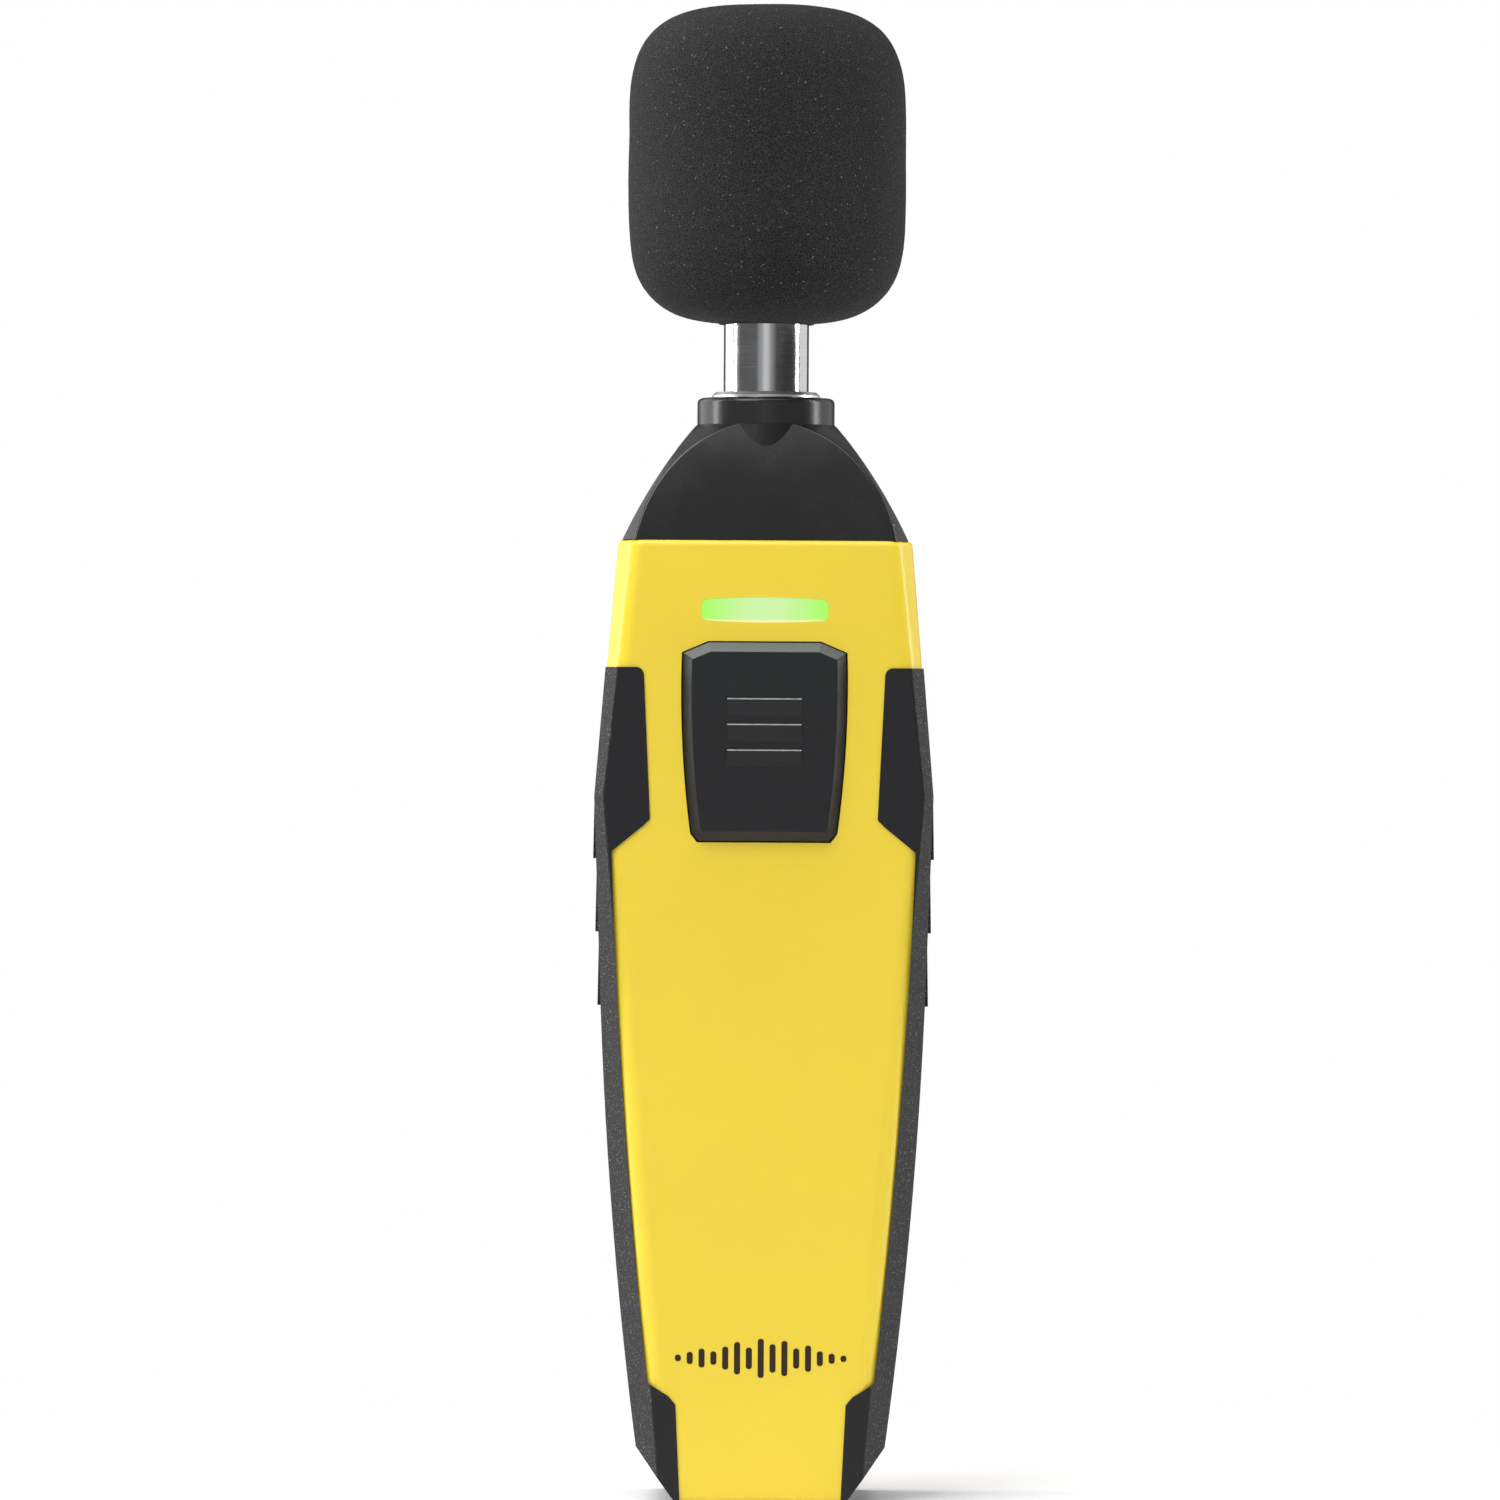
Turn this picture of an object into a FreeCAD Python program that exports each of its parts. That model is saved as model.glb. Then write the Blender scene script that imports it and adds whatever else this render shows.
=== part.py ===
import FreeCAD, Part
import math
import operator
import os

import Sketcher

# A hand-held wireless sound level meter, in millimetres. Facing its front, +X is to the right,
# +Y goes from the front to the back and +Z goes up. The origin is the middle of the flat base,
# on the axis of the half-inch microphone tube.

DIMENSIONS = {
    # Case, outer form: half widths of the outline from the base to the top, with their heights
    "base_half": 12.2,
    "shoulder_half": 18.25,
    "shoulder_height": 8.2,
    "flank_half": 23.8,
    "flank_height": 73.0,
    "flank_radius": 684.0,
    "widest_half": 24.9,
    "widest_height": 104.6,
    "top_half": 21.8,
    "case_height": 142.6,
    "half_depth": 15.5,
    # Half widths of the flat front and back, between the creases where the side facets start
    "crease_base": 14.67,
    "crease_wide": 23.6,
    "crease_top": 19.5,
    "facet_reach": 7.0,
    "facet_slope": 1.7,
    "crease_round": 3.0,
    "rim_round": 1.0,
    "wall": 2.6,
    # Lap joint between the two shells
    "lap_depth": 2.0,
    "lap_gap": 0.1,
    "lap_height": 1.2,
    # Rubber grips
    "grip_proud": 0.25,
    "grip_seat": 1.4,
    "grip_gap": 0.05,
    "grip_crease_round": 0.5,
    "ear_top": 123.7,
    "ear_half": 17.85,
    "ear_corner": 1.2,
    "ear_low_half": 16.85,
    "ear_low": 101.2,
    "facet_start_half": 22.5,
    "facet_start": 96.4,
    "grip_edge_half": 16.8,
    "grip_edge_low": 17.8,
    "grip_edge_radius": 1000.0,
    "foot_half": 12.6,
    "foot_top": 14.9,
    "foot_base_half": 11.9,
    "ridge_half_depth": 8.5,
    "ridge_height": 9.6,
    "ridge_pitch": 10.9,
    "ridge_top": 104.9,
    "ridge_step": 0.5,
    "ridge_count": 3,
    # Nose cone and its collar
    "nose_half": 21.2,
    "nose_half_depth": 14.9,
    "nose_neck_half": 9.4,
    "nose_corner": 24.4,
    "nose_outline_radius": 86.0,
    "nose_face_radius": 90.0,
    "nose_corner_radius": 28.5,
    "nose_wall": 1.5,
    "collar_edge": 0.05,
    "nose_shoulder": 160.0,
    "neck_low": 150.0,
    "neck_low_radius": 11.9,
    "neck_top": 161.0,
    "nose_floor": 157.3,
    "collar_radius": 10.25,
    "collar_top": 164.0,
    "collar_round": 0.8,
    "nose_crease_round": 0.4,
    "spigot_half": 18.1,
    "spigot_half_depth": 12.2,
    "spigot_low": 136.4,
    "spigot_wall": 1.6,
    "spigot_gap": 0.1,
    "catch_half": 19.0,
    "catch_half_depth": 12.6,
    "catch_low": 138.0,
    "catch_top": 139.8,
    # Half-inch microphone
    "tube_radius": 6.35,
    "tube_bore": 5.35,
    "tube_top": 205.0,
    "thread_radius": 6.0,
    "thread_low": 150.0,
    "fit_gap": 0.05,
    "ring_radius": 8.05,
    "ring_height": 0.9,
    "ring_bevel": 0.5,
    "nut_flats": 14.0,
    "nut_low": 154.2,
    "capsule_radius": 4.85,
    "capsule_low": 197.5,
    "capsule_top": 204.2,
    "sleeve_low": 195.0,
    "grid_height": 1.0,
    "grid_hole": 0.5,
    "grid_ring_one": 2.2,
    "grid_ring_two": 4.1,
    "grid_spigot": 0.75,
    "grid_rim": 0.4,
    "grid_bevel": 0.3,
    # Foam windscreen
    "foam_radius": 20.9,
    "foam_low": 175.0,
    "foam_top": 222.8,
    "foam_bore": 6.6,
    "foam_bore_top": 206.5,
    "foam_flat_low": 10.4,
    "foam_flat_top": 8.6,
    "foam_bend_half": 20.3,
    "foam_bend_low": 188.6,
    "foam_bend_high": 208.6,
    "foam_bend_radius": 13.6,
    "foam_side_radius": 86.0,
    # Power button, its three finger ribs, and the switch behind it
    "button_low": 98.0,
    "button_base_half": 9.7,
    "button_foot_half": 10.7,
    "button_foot_height": 99.2,
    "button_wide_half": 12.06,
    "button_wide_height": 125.8,
    "button_side_radius": 160.0,
    "button_top_half": 8.3,
    "button_top": 127.4,
    "button_face": -17.0,
    "button_bevel": 1.4,
    "button_round": 0.25,
    "button_wall": 1.4,
    "button_gap": 0.2,
    "button_flange": 1.0,
    "button_post": 2.0,
    "button_height": 112.7,
    "post_end": -10.65,
    "rib_half": 5.5,
    "rib_top": 119.2,
    "rib_pitch": 3.8,
    "rib_rise": 0.35,
    "rib_slope": 2.6,
    "rib_ledge": 0.2,
    "rib_root": 0.3,
    "rib_count": 3,
    "switch_half": 3.0,
    "switch_depth": 3.5,
    "switch_bore": 1.8,
    "plunger_radius": 1.75,
    "plunger_length": 2.1,
    # Light guide
    "guide_half": 9.3,
    "guide_low": 130.6,
    "guide_top": 133.9,
    "guide_arch_radius": 120.0,
    "guide_arch_drop": 0.15,
    "guide_corner": 0.9,
    "guide_face": -15.4,
    "guide_back": -7.0,
    "guide_lip": 1.0,
    "guide_gap": 0.1,
    "light_place": 6.0,
    "light_half": 1.4,
    "light_depth": 1.0,
    # Circuit board
    "board_front": -5.6,
    "board_back": -4.0,
    "board_half": 17.6,
    "board_low": 68.0,
    "board_wide_top": 126.0,
    "board_top": 137.0,
    "board_narrow_half": 10.5,
    "board_screw_radius": 0.8,
    "board_screw_head": 1.8,
    "board_boss": 2.0,
    "board_screw_length": 5.0,
    "board_screw_cap": 1.1,
    "board_screw_slot": 0.6,
    "board_hole_gap": 0.15,
    # Parts on the board: the radio and its can, the controller, the amplifier, capacitors, socket
    "radio_half": 6.0,
    "radio_low": 69.0,
    "radio_top": 85.0,
    "radio_board": 0.8,
    "radio_can_half": 5.2,
    "radio_can_low": 73.5,
    "radio_can_top": 84.2,
    "radio_can_depth": 2.0,
    "radio_can_sheet": 0.2,
    "controller_half": 5.0,
    "controller_height": 96.0,
    "controller_depth": 1.2,
    "controller_mark": 0.6,
    "controller_mark_place": 3.6,
    "amplifier_height": 119.0,
    "amplifier_half": 2.5,
    "amplifier_half_height": 2.0,
    "amplifier_depth": 1.5,
    "leg_pitch": 1.27,
    "leg_half": 0.2,
    "leg_depth": 0.3,
    "leg_root": 1.9,
    "leg_end": 3.0,
    "capacitor_place": 8.0,
    "capacitor_height": 108.0,
    "capacitor_foot": 3.3,
    "capacitor_foot_depth": 1.0,
    "capacitor_radius": 3.15,
    "capacitor_depth": 4.4,
    "socket_half": 3.0,
    "socket_low": 131.0,
    "socket_top": 135.5,
    "socket_hole_depth": 1.5,
    "socket_hole_place": -2.0,
    # Shell screws
    "boss_radius": 3.5,
    "screw_radius": 1.2,
    "screw_head": 2.2,
    "screw_well": 2.4,
    "screw_seat": 6.0,
    "screw_end": -8.0,
    "screw_cap": 1.8,
    "screw_slot": 1.0,
    "screw_gap": 0.2,
    "boss_overlap": 0.6,
    # Batteries, size AAA, and their bay
    "cell_radius": 5.25,
    "cell_length": 44.5,
    "cell_pitch": 10.8,
    "cell_depth": 7.0,
    "nub_radius": 1.9,
    "nub_height": 0.8,
    "bay_half": 16.6,
    "bay_low": 36.6,
    "bay_top": 87.0,
    "bay_floor": 1.6,
    "bay_wall": 1.2,
    "bay_rim": 0.6,
    "contact_thickness": 0.4,
    "contact_front": 2.4,
    "contact_back": 11.6,
    "contact_end": 15.0,
    "contact_single": 6.6,
    "contact_joined": 4.2,
    "tab_half": 0.7,
    "tab_end": -0.4,
    "tab_gap": 0.15,
    "spring_wire": 0.35,
    "spring_radius": 3.0,
    "spring_turns": 3.5,
    # Battery cover
    "cover_half": 17.0,
    "cover_low": 28.0,
    "cover_low_half": 12.5,
    "cover_bend": 44.0,
    "cover_top": 92.5,
    "cover_thickness": 1.5,
    "cover_gap": 0.15,
    "tongue_place": 9.0,
    "tongue_half": 2.5,
    "tongue_front": 11.6,
    "tongue_back": 12.7,
    "tongue_low": 90.5,
    "tongue_top": 95.2,
    "tongue_gap": 0.2,
    "tongue_slot_front": 10.6,
    "cover_screw_height": 32.0,
    "cover_screw_head": 2.5,
    "cover_screw_radius": 1.1,
    "cover_screw_end": 9.4,
    "cover_screw_cap": 1.0,
    "cover_screw_sink": 0.25,
    "cover_screw_bore": 1.6,
    "cover_foot": 3.8,
    "cover_foot_room": 4.0,
    "cover_boss": 5.2,
    "cover_boss_front": 6.0,
    "cushion_half": 15.0,
    "cushion_low": 60.0,
    "cushion_top": 66.0,
    "cushion_front": 12.6,
    # Rating label
    "label_half": 14.0,
    "label_half_height": 12.5,
    "label_thickness": 0.12,
    "label_corner": 1.2,
    "label_height": 109.5,
    # Wires
    "wire_radius": 0.4,
    "capsule_wire_place": 1.2,
}

doc = FreeCAD.newDocument("sound_level_meter")
sheet = doc.addObject("Spreadsheet::Sheet", "sizes")
for row, (alias, number) in enumerate(DIMENSIONS.items(), 1):
    cell = "A%d" % row
    sheet.set(cell, str(number))
    sheet.setAlias(cell, alias)
doc.recompute()


class Size:
    """A number together with the sheet expression that gives it."""

    SIGNS = {"+": operator.add, "-": operator.sub, "*": operator.mul, "/": operator.truediv}

    def __init__(self, value, text):
        self.value = value
        self.text = text

    def _with(self, sign, other, swapped=False):
        """Join this size and another number or size with an arithmetic sign."""
        left, right = (size_of(other), self) if swapped else (self, size_of(other))
        value = self.SIGNS[sign](left.value, right.value)
        return Size(value, "(%s %s %s)" % (left.text, sign, right.text))

    def __add__(self, other):
        return self._with("+", other)

    def __radd__(self, other):
        return self._with("+", other, swapped=True)

    def __sub__(self, other):
        return self._with("-", other)

    def __rsub__(self, other):
        return self._with("-", other, swapped=True)

    def __mul__(self, other):
        return self._with("*", other)

    def __rmul__(self, other):
        return self._with("*", other, swapped=True)

    def __truediv__(self, other):
        return self._with("/", other)

    def __neg__(self):
        return self._with("*", -1)


def size_of(number):
    """A Size from a Size or a plain number."""
    if isinstance(number, Size):
        return number
    return Size(float(number), "(%r)" % float(number))


class Sizes:
    """The sheet's cells, read by their aliases as Size objects."""

    def __getattr__(self, alias):
        return Size(float(sheet.get(alias)), "sizes." + alias)


s = Sizes()


def bind(feature, path, number):
    """Set one property of a feature from a sheet expression."""
    feature.setExpression(path, size_of(number).text)


def point(x, y, z):
    """A vector from sizes or plain numbers."""
    return FreeCAD.Vector(size_of(x).value, size_of(y).value, size_of(z).value)


# ---------------------------------------------------------------- sketches and simple solids


def new_sketch(body, role, shift):
    """A sketch on one of the body's origin planes, moved along the plane's normal."""
    plane = next(item for item in body.Origin.OriginFeatures if item.Role == role)
    sketch = body.newObject("Sketcher::SketchObject", body.Name + "_outline")
    sketch.AttachmentSupport = (plane, [""])
    sketch.MapMode = "FlatFace"
    bind(sketch, "AttachmentOffset.Base.z", shift)
    return sketch


def arc_through(start, end, radius):
    """The arc of a radius from start to end, bulging to the right of the way it goes."""
    chord = end - start
    middle = (start + end) * 0.5
    to_centre = math.sqrt(radius ** 2 - (chord.Length / 2) ** 2)
    outwards = FreeCAD.Vector(chord.y, -chord.x, 0).normalize()
    if radius < 0:
        outwards = -outwards
    centre = middle - outwards * to_centre
    return Part.Arc(start, centre + outwards * abs(radius), end)


def draw(sketch, corners, arcs=None):
    """Draw a closed outline, anticlockwise; arcs gives the radius of each edge that is round."""
    arcs = arcs or {}
    places = [point(x, y, 0) for x, y in corners]
    edges = []
    for index, start in enumerate(places):
        end = places[(index + 1) % len(places)]
        if index in arcs:
            edges.append(arc_through(start, end, size_of(arcs[index]).value))
        else:
            edges.append(Part.LineSegment(start, end))
    first = sketch.GeometryCount
    sketch.addGeometry(edges)

    def end_at(edge, place):
        """The number, 1 or 2, of the edge's end that lies at a place."""
        return 1 if sketch.getPoint(edge, 1).distanceToPoint(place) < 1e-6 else 2

    joints = []
    measures = []
    for index, (x, y) in enumerate(corners):
        edge = first + index
        previous = first + (index - 1) % len(corners)
        here = places[index]
        joints.append(Sketcher.Constraint(
            "Coincident", previous, end_at(previous, here), edge, end_at(edge, here)))
        for kind, number, axis in (("DistanceX", x, -2), ("DistanceY", y, -1)):
            if size_of(number).value == 0:
                joints.append(Sketcher.Constraint("PointOnObject", edge, end_at(edge, here), axis))
            else:
                constraint = Sketcher.Constraint(
                    kind, -1, 1, edge, end_at(edge, here), size_of(number).value)
                measures.append((constraint, number))
        if index in arcs:
            radius = abs(size_of(arcs[index]).value)
            measures.append((Sketcher.Constraint("Radius", edge, radius), arcs[index]))
    sketch.addConstraint(joints)
    place = sketch.ConstraintCount
    sketch.addConstraint([constraint for constraint, _ in measures])
    for number, (constraint, value) in enumerate(measures, place):
        expression = size_of(value)
        if constraint.Type == "Radius":
            expression = size_of(value) if expression.value > 0 else -expression
        sketch.setExpression("Constraints[%d]" % number, expression.text)


def symmetric(right, arcs=None):
    """An outline and its arcs from the half of it at the right, given from low to high."""
    count = len(right)
    corners = list(right) + [(-x, y) for x, y in reversed(right)]
    both = dict(arcs or {})
    both.update({2 * count - 2 - index: radius for index, radius in (arcs or {}).items()})
    return corners, both


def new_body(name):
    """An empty PartDesign body."""
    return doc.addObject("PartDesign::Body", name)


def plate(name, corners, low, high, arcs=None):
    """An outline in X and Z, filled from one depth along Y to another."""
    body = new_body(name)
    sketch = new_sketch(body, "XZ_Plane", -size_of(high))
    draw(sketch, corners, arcs)
    pad = body.newObject("PartDesign::Pad", name + "_pad")
    pad.Profile = sketch
    bind(pad, "Length", size_of(high) - low)
    return body


def column(name, corners, low, high, arcs=None):
    """An outline in X and Y, filled from one height to another."""
    body = new_body(name)
    sketch = new_sketch(body, "XY_Plane", low)
    draw(sketch, corners, arcs)
    pad = body.newObject("PartDesign::Pad", name + "_pad")
    pad.Profile = sketch
    bind(pad, "Length", size_of(high) - low)
    return body


def turned(name, corners, arcs=None):
    """A profile of radius and height, turned about the Z axis."""
    body = new_body(name)
    sketch = new_sketch(body, "XZ_Plane", 0)
    draw(sketch, corners, arcs)
    turn = body.newObject("PartDesign::Revolution", name + "_turn")
    turn.Profile = sketch
    turn.ReferenceAxis = (sketch, ["V_Axis"])
    turn.Angle = 360
    return body


def block(name, x, y, z):
    """A box between pairs of places along X, Y and Z."""
    box = doc.addObject("Part::Box", name)
    for side, axis, (low, high) in (("Length", "x", x), ("Width", "y", y), ("Height", "z", z)):
        bind(box, side, size_of(high) - low)
        bind(box, "Placement.Base." + axis, low)
    return box


TURNS = {
    "x": FreeCAD.Rotation(FreeCAD.Vector(0, 1, 0), 90),
    "y": FreeCAD.Rotation(FreeCAD.Vector(1, 0, 0), -90),
    "z": FreeCAD.Rotation(),
}


def place_at(feature, base, along="z"):
    """Turn a feature's Z axis along an axis and move its origin to a place."""
    feature.Placement = FreeCAD.Placement(point(*base), TURNS[along])
    for axis, number in zip("xyz", base):
        bind(feature, "Placement.Base." + axis, number)
    return feature


def rod(name, radius, base, length, along="z"):
    """A cylinder from the middle of its base, along an axis."""
    cylinder = doc.addObject("Part::Cylinder", name)
    bind(cylinder, "Radius", radius)
    bind(cylinder, "Height", length)
    return place_at(cylinder, base, along)


def fuse(name, *solids):
    """The union of solids."""
    union = doc.addObject("Part::MultiFuse", name)
    union.Shapes = list(solids)
    return union


def common(name, *solids):
    """What solids have in common."""
    shared = doc.addObject("Part::MultiCommon", name)
    shared.Shapes = list(solids)
    return shared


def cut(name, base, *tools):
    """A solid less one or more others."""
    difference = doc.addObject("Part::Cut", name)
    difference.Base = base
    difference.Tool = tools[0] if len(tools) == 1 else fuse(name + "_tools", *tools)
    return difference


def offset(name, source, distance):
    """A form whose every face lies a distance outside the source's, or inside it below zero."""
    shell = doc.addObject("Part::Offset", name)
    shell.Source = source
    shell.Join = 2
    bind(shell, "Value", distance)
    return shell


def group(name, *solids):
    """Several separate solids that share one node."""
    compound = doc.addObject("Part::Compound", name)
    compound.Links = list(solids)
    return compound


nodes = []


def piece(label, feature):
    """Name a finished piece; its label is its node's name."""
    feature.Label = label
    nodes.append(feature)
    return feature


def edges_where(feature, test):
    """The names of a feature's edges whose bounding box passes a test."""
    doc.recompute()
    return ["Edge%d" % number for number, edge in enumerate(feature.Shape.Edges, 1)
            if test(edge.BoundBox)]


def round_edges(body, kind, name, radius, test):
    """Fillet or chamfer the edges of a body's last feature that pass a test."""
    base = body.Tip
    names = edges_where(base, test)
    finish = body.newObject("PartDesign::" + kind, name)
    finish.Base = (base, names)
    bind(finish, "Radius" if kind == "Fillet" else "Size", radius)
    return finish


def crease_fillets(feature, radius, test):
    """The edge list of a fillet of one radius along the edges that pass a test."""
    return [(int(edge[4:]), radius, radius) for edge in edges_where(feature, test)]


# ---------------------------------------------------------------- forms of the case


def section(body, height, crease):
    """One eight-sided section of the case: flat front and back, with slanted facets."""
    sketch = new_sketch(body, "XY_Plane", height)
    facet_edge = s.half_depth - s.facet_slope * s.facet_reach
    quarter = [(crease, -s.half_depth), (crease + s.facet_reach, -facet_edge)]
    right = quarter + [(x, -y) for x, y in reversed(quarter)]
    draw(sketch, right + [(-x, y) for x, y in reversed(right)])
    return sketch


def case_form(name):
    """The outer form of the case: three ruled sections, trimmed to the front outline."""
    body = new_body(name)
    base = section(body, 0, s.crease_base)
    upper = [
        section(body, s.widest_height, s.crease_wide),
        section(body, s.case_height, s.crease_top),
    ]
    loft = body.newObject("PartDesign::AdditiveLoft", name + "_loft")
    loft.Profile = base
    loft.Sections = upper
    loft.Ruled = True
    outline, arcs = symmetric([
        (s.base_half, 0),
        (s.shoulder_half, s.shoulder_height),
        (s.flank_half, s.flank_height),
        (s.widest_half, s.widest_height),
        (s.top_half, s.case_height),
    ], {1: s.flank_radius})
    trim_sketch = new_sketch(body, "XZ_Plane", 0)
    draw(trim_sketch, outline, arcs)
    margin = 20
    beyond = s.widest_half + margin
    draw(trim_sketch, [(beyond, -margin), (beyond, s.case_height + margin),
                       (-beyond, s.case_height + margin), (-beyond, -margin)])
    trim = body.newObject("PartDesign::Pocket", name + "_trim")
    trim.Profile = trim_sketch
    trim.Type = 1
    trim.Midplane = True
    doc.recompute()
    return body


DEPTH = s.half_depth.value
HEIGHT = s.case_height.value
EDGE = 1e-3


def is_crease(box):
    """Whether an edge's box is that of a long crease beside the flat front or back."""
    flat = abs(abs(box.YMin) - DEPTH) < EDGE and abs(abs(box.YMax) - DEPTH) < EDGE
    return flat and box.ZLength > 5 and box.ZMin > 3.7 and box.XMin * box.XMax > 0


def is_flank(box):
    """Whether an edge's box is that of a long edge between a side and a facet."""
    return box.ZLength > 5 and box.YLength < 3.5 and max(-box.YMin, box.YMax) < 15 and box.ZMin > 7


plain_form = case_form("plain_form")
round_form = case_form("round_form")
round_edges(round_form, "Fillet", "crease_fillet", s.crease_round,
            lambda box: is_crease(box) or is_flank(box))
round_edges(round_form, "Fillet", "top_fillet", s.rim_round,
            lambda box: box.ZMin > HEIGHT - EDGE)
round_edges(round_form, "Fillet", "base_fillet", s.rim_round,
            lambda box: box.ZMax < EDGE)

cavity_form = offset("cavity_form", plain_form, -s.wall)
seat_form = offset("seat_form", plain_form, -s.grip_seat)
grip_inner_form = offset("grip_inner_form", plain_form, s.grip_gap - s.grip_seat)
grip_outer_form = offset("grip_outer_form", plain_form, s.grip_proud)
lap_outer_form = offset("lap_outer_form", plain_form, -s.lap_depth)
lap_seat_form = offset("lap_seat_form", plain_form, s.lap_gap - s.lap_depth)

# ---------------------------------------------------------------- rubber grips

FAR = 40
grip_outline = [
    (s.foot_base_half, 0),
    (FAR, 0),
    (FAR, s.ear_top),
    (s.ear_half + s.ear_corner, s.ear_top),
    (s.ear_half, s.ear_top - s.ear_corner),
    (s.ear_low_half, s.ear_low),
    (s.ear_low_half + 1, s.ear_low - 1),
    (s.facet_start_half, s.facet_start),
    (s.grip_edge_half, s.grip_edge_low),
    (s.foot_half + 1, s.foot_top + 0.9),
    (s.foot_half, s.foot_top - 0.3),
]
grip_arcs = {3: s.ear_corner, 7: -s.grip_edge_radius}


def grip_region(name, side):
    """The part of the case's width that one grip covers, through its whole depth."""
    if side > 0:
        return plate(name, grip_outline, -FAR, FAR, grip_arcs)
    count = len(grip_outline)
    corners = [(-x, y) for x, y in reversed(grip_outline)]
    arcs = {(count - 2 - index) % count: radius for index, radius in grip_arcs.items()}
    return plate(name, corners, -FAR, FAR, arcs)


def outline_half(height):
    """The half width of the grips' outside at a height below the widest place."""
    rise = (height - s.flank_height) / (s.widest_height - s.flank_height)
    return s.flank_half + s.grip_proud + rise * (s.widest_half - s.flank_half)


def finger_ridge(name, side, number):
    """One raised scale of a grip: level with its surface at the top, stepped at the bottom."""
    top = s.ridge_top - s.ridge_pitch * number
    low = top - s.ridge_height
    inside = s.grip_seat / 2
    corners = [
        (outline_half(low) - inside, low),
        (outline_half(low) + s.ridge_step, low),
        (outline_half(top), top),
        (outline_half(top) - inside, top),
    ]
    if side < 0:
        corners = [(-x, y) for x, y in reversed(corners)]
    return plate(name, corners, -s.ridge_half_depth, s.ridge_half_depth)


grip_blank = doc.addObject("Part::Fillet", "grip_blank")
grip_blank.Base = grip_outer_form
GRIP_DEPTH = DEPTH + s.grip_proud.value


def is_grip_crease(box):
    """Whether an edge's box is that of a long crease of the grips' outer form."""
    flat = abs(abs(box.YMin) - GRIP_DEPTH) < EDGE and abs(abs(box.YMax) - GRIP_DEPTH) < EDGE
    return flat and box.ZLength > 5 and box.ZMin > 3 and box.XMin * box.XMax > 0


grip_blank.Edges = crease_fillets(grip_outer_form, s.grip_crease_round.value, is_grip_crease)

regions = []
for word, side in (("right", 1), ("left", -1)):
    region = grip_region("grip_region_" + word, side)
    regions.append(region)
    sleeve = common("grip_sleeve_" + word, grip_blank, region)
    ridges = [finger_ridge("ridge_%s_%d" % (word, number), side, number)
              for number in range(int(s.ridge_count.value))]
    solid = fuse("grip_solid_" + word, sleeve, *ridges)
    piece("grip_" + word, cut("grip_cut_" + word, solid, grip_inner_form))

# ---------------------------------------------------------------- nose cone


def nose_form(name, inset, top):
    """The outside of the nose, or a space an inset inside it, up to a height."""
    low = s.case_height
    shoulder = s.nose_shoulder
    collar = s.collar_radius + s.collar_edge - inset
    front, front_arcs = symmetric(
        [(s.nose_half - inset, low), (collar, shoulder), (collar, top)],
        {0: s.nose_outline_radius})
    depth, depth_arcs = symmetric(
        [(s.nose_half_depth - inset, low), (s.nose_neck_half - inset, shoulder),
         (collar, shoulder), (collar, top)],
        {0: s.nose_face_radius})
    front_form = plate(name + "_front", front, -FAR, FAR, front_arcs)
    side_form = plate(name + "_side", depth, -FAR, FAR, depth_arcs)
    side_form.Placement = FreeCAD.Placement(
        FreeCAD.Vector(), FreeCAD.Rotation(FreeCAD.Vector(0, 0, 1), 90))
    round_radius = s.collar_radius - inset
    edge = s.collar_round
    profile = [
        (0, low),
        (s.nose_corner - inset, low),
        (round_radius, shoulder),
        (round_radius, top - edge),
        (round_radius - edge, top),
        (0, top),
    ]
    arcs = {1: s.nose_corner_radius, 3: edge}
    return common(name, front_form, side_form, turned(name + "_round", profile, arcs))


def rounded_frame(name, half, half_depth, low, high, corner):
    """A box about the Z axis with its upright edges rounded."""
    straight = [
        (half - corner, -half_depth),
        (half, corner - half_depth),
        (half, half_depth - corner),
        (half - corner, half_depth),
    ]
    corners = straight + [(-x, y) for x, y in reversed(straight)]
    return column(name, corners, low, high, {0: corner, 2: corner, 4: corner, 6: corner})


nose_sharp = nose_form("nose_sharp", 0, s.collar_top)
nose_outer = doc.addObject("Part::Fillet", "nose_outer")
nose_outer.Base = nose_sharp
nose_outer.Edges = crease_fillets(nose_sharp, s.nose_crease_round.value,
                                  lambda box: box.ZMin < HEIGHT + EDGE and box.ZLength > 8)
nose_room = common(
    "nose_room",
    nose_form("nose_inner", s.nose_wall, s.collar_top),
    block("nose_room_limit", (-FAR, FAR), (-FAR, FAR),
          (s.case_height + s.nose_wall, s.nose_floor)))
spigot = rounded_frame("spigot", s.spigot_half, s.spigot_half_depth,
                       s.spigot_low, s.case_height, 2)
catch = rounded_frame("catch", s.catch_half, s.catch_half_depth, s.catch_low, s.catch_top, 2)
spigot_room = rounded_frame(
    "spigot_room", s.spigot_half - s.spigot_wall, s.spigot_half_depth - s.spigot_wall,
    s.spigot_low - 1, s.case_height + s.nose_wall + 1, 1.5)
collar_bore = rod("collar_bore", s.thread_radius + s.fit_gap, (0, 0, s.nose_floor - 1), 10)
# The neck fills the corner between the sloping front and the collar's underside, and runs on
# a little way inside the collar
neck_top_radius = s.collar_radius - s.collar_edge
neck = turned("nose_neck", [
    (0, s.neck_low),
    (s.neck_low_radius, s.neck_low),
    (neck_top_radius, s.nose_shoulder),
    (neck_top_radius, s.neck_top),
    (0, s.neck_top),
])
nose_solid = fuse("nose_solid", nose_outer, neck, spigot, catch)
piece("nose_cone", cut("nose_cut", nose_solid, nose_room, spigot_room, collar_bore))

# ---------------------------------------------------------------- half-inch microphone

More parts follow.
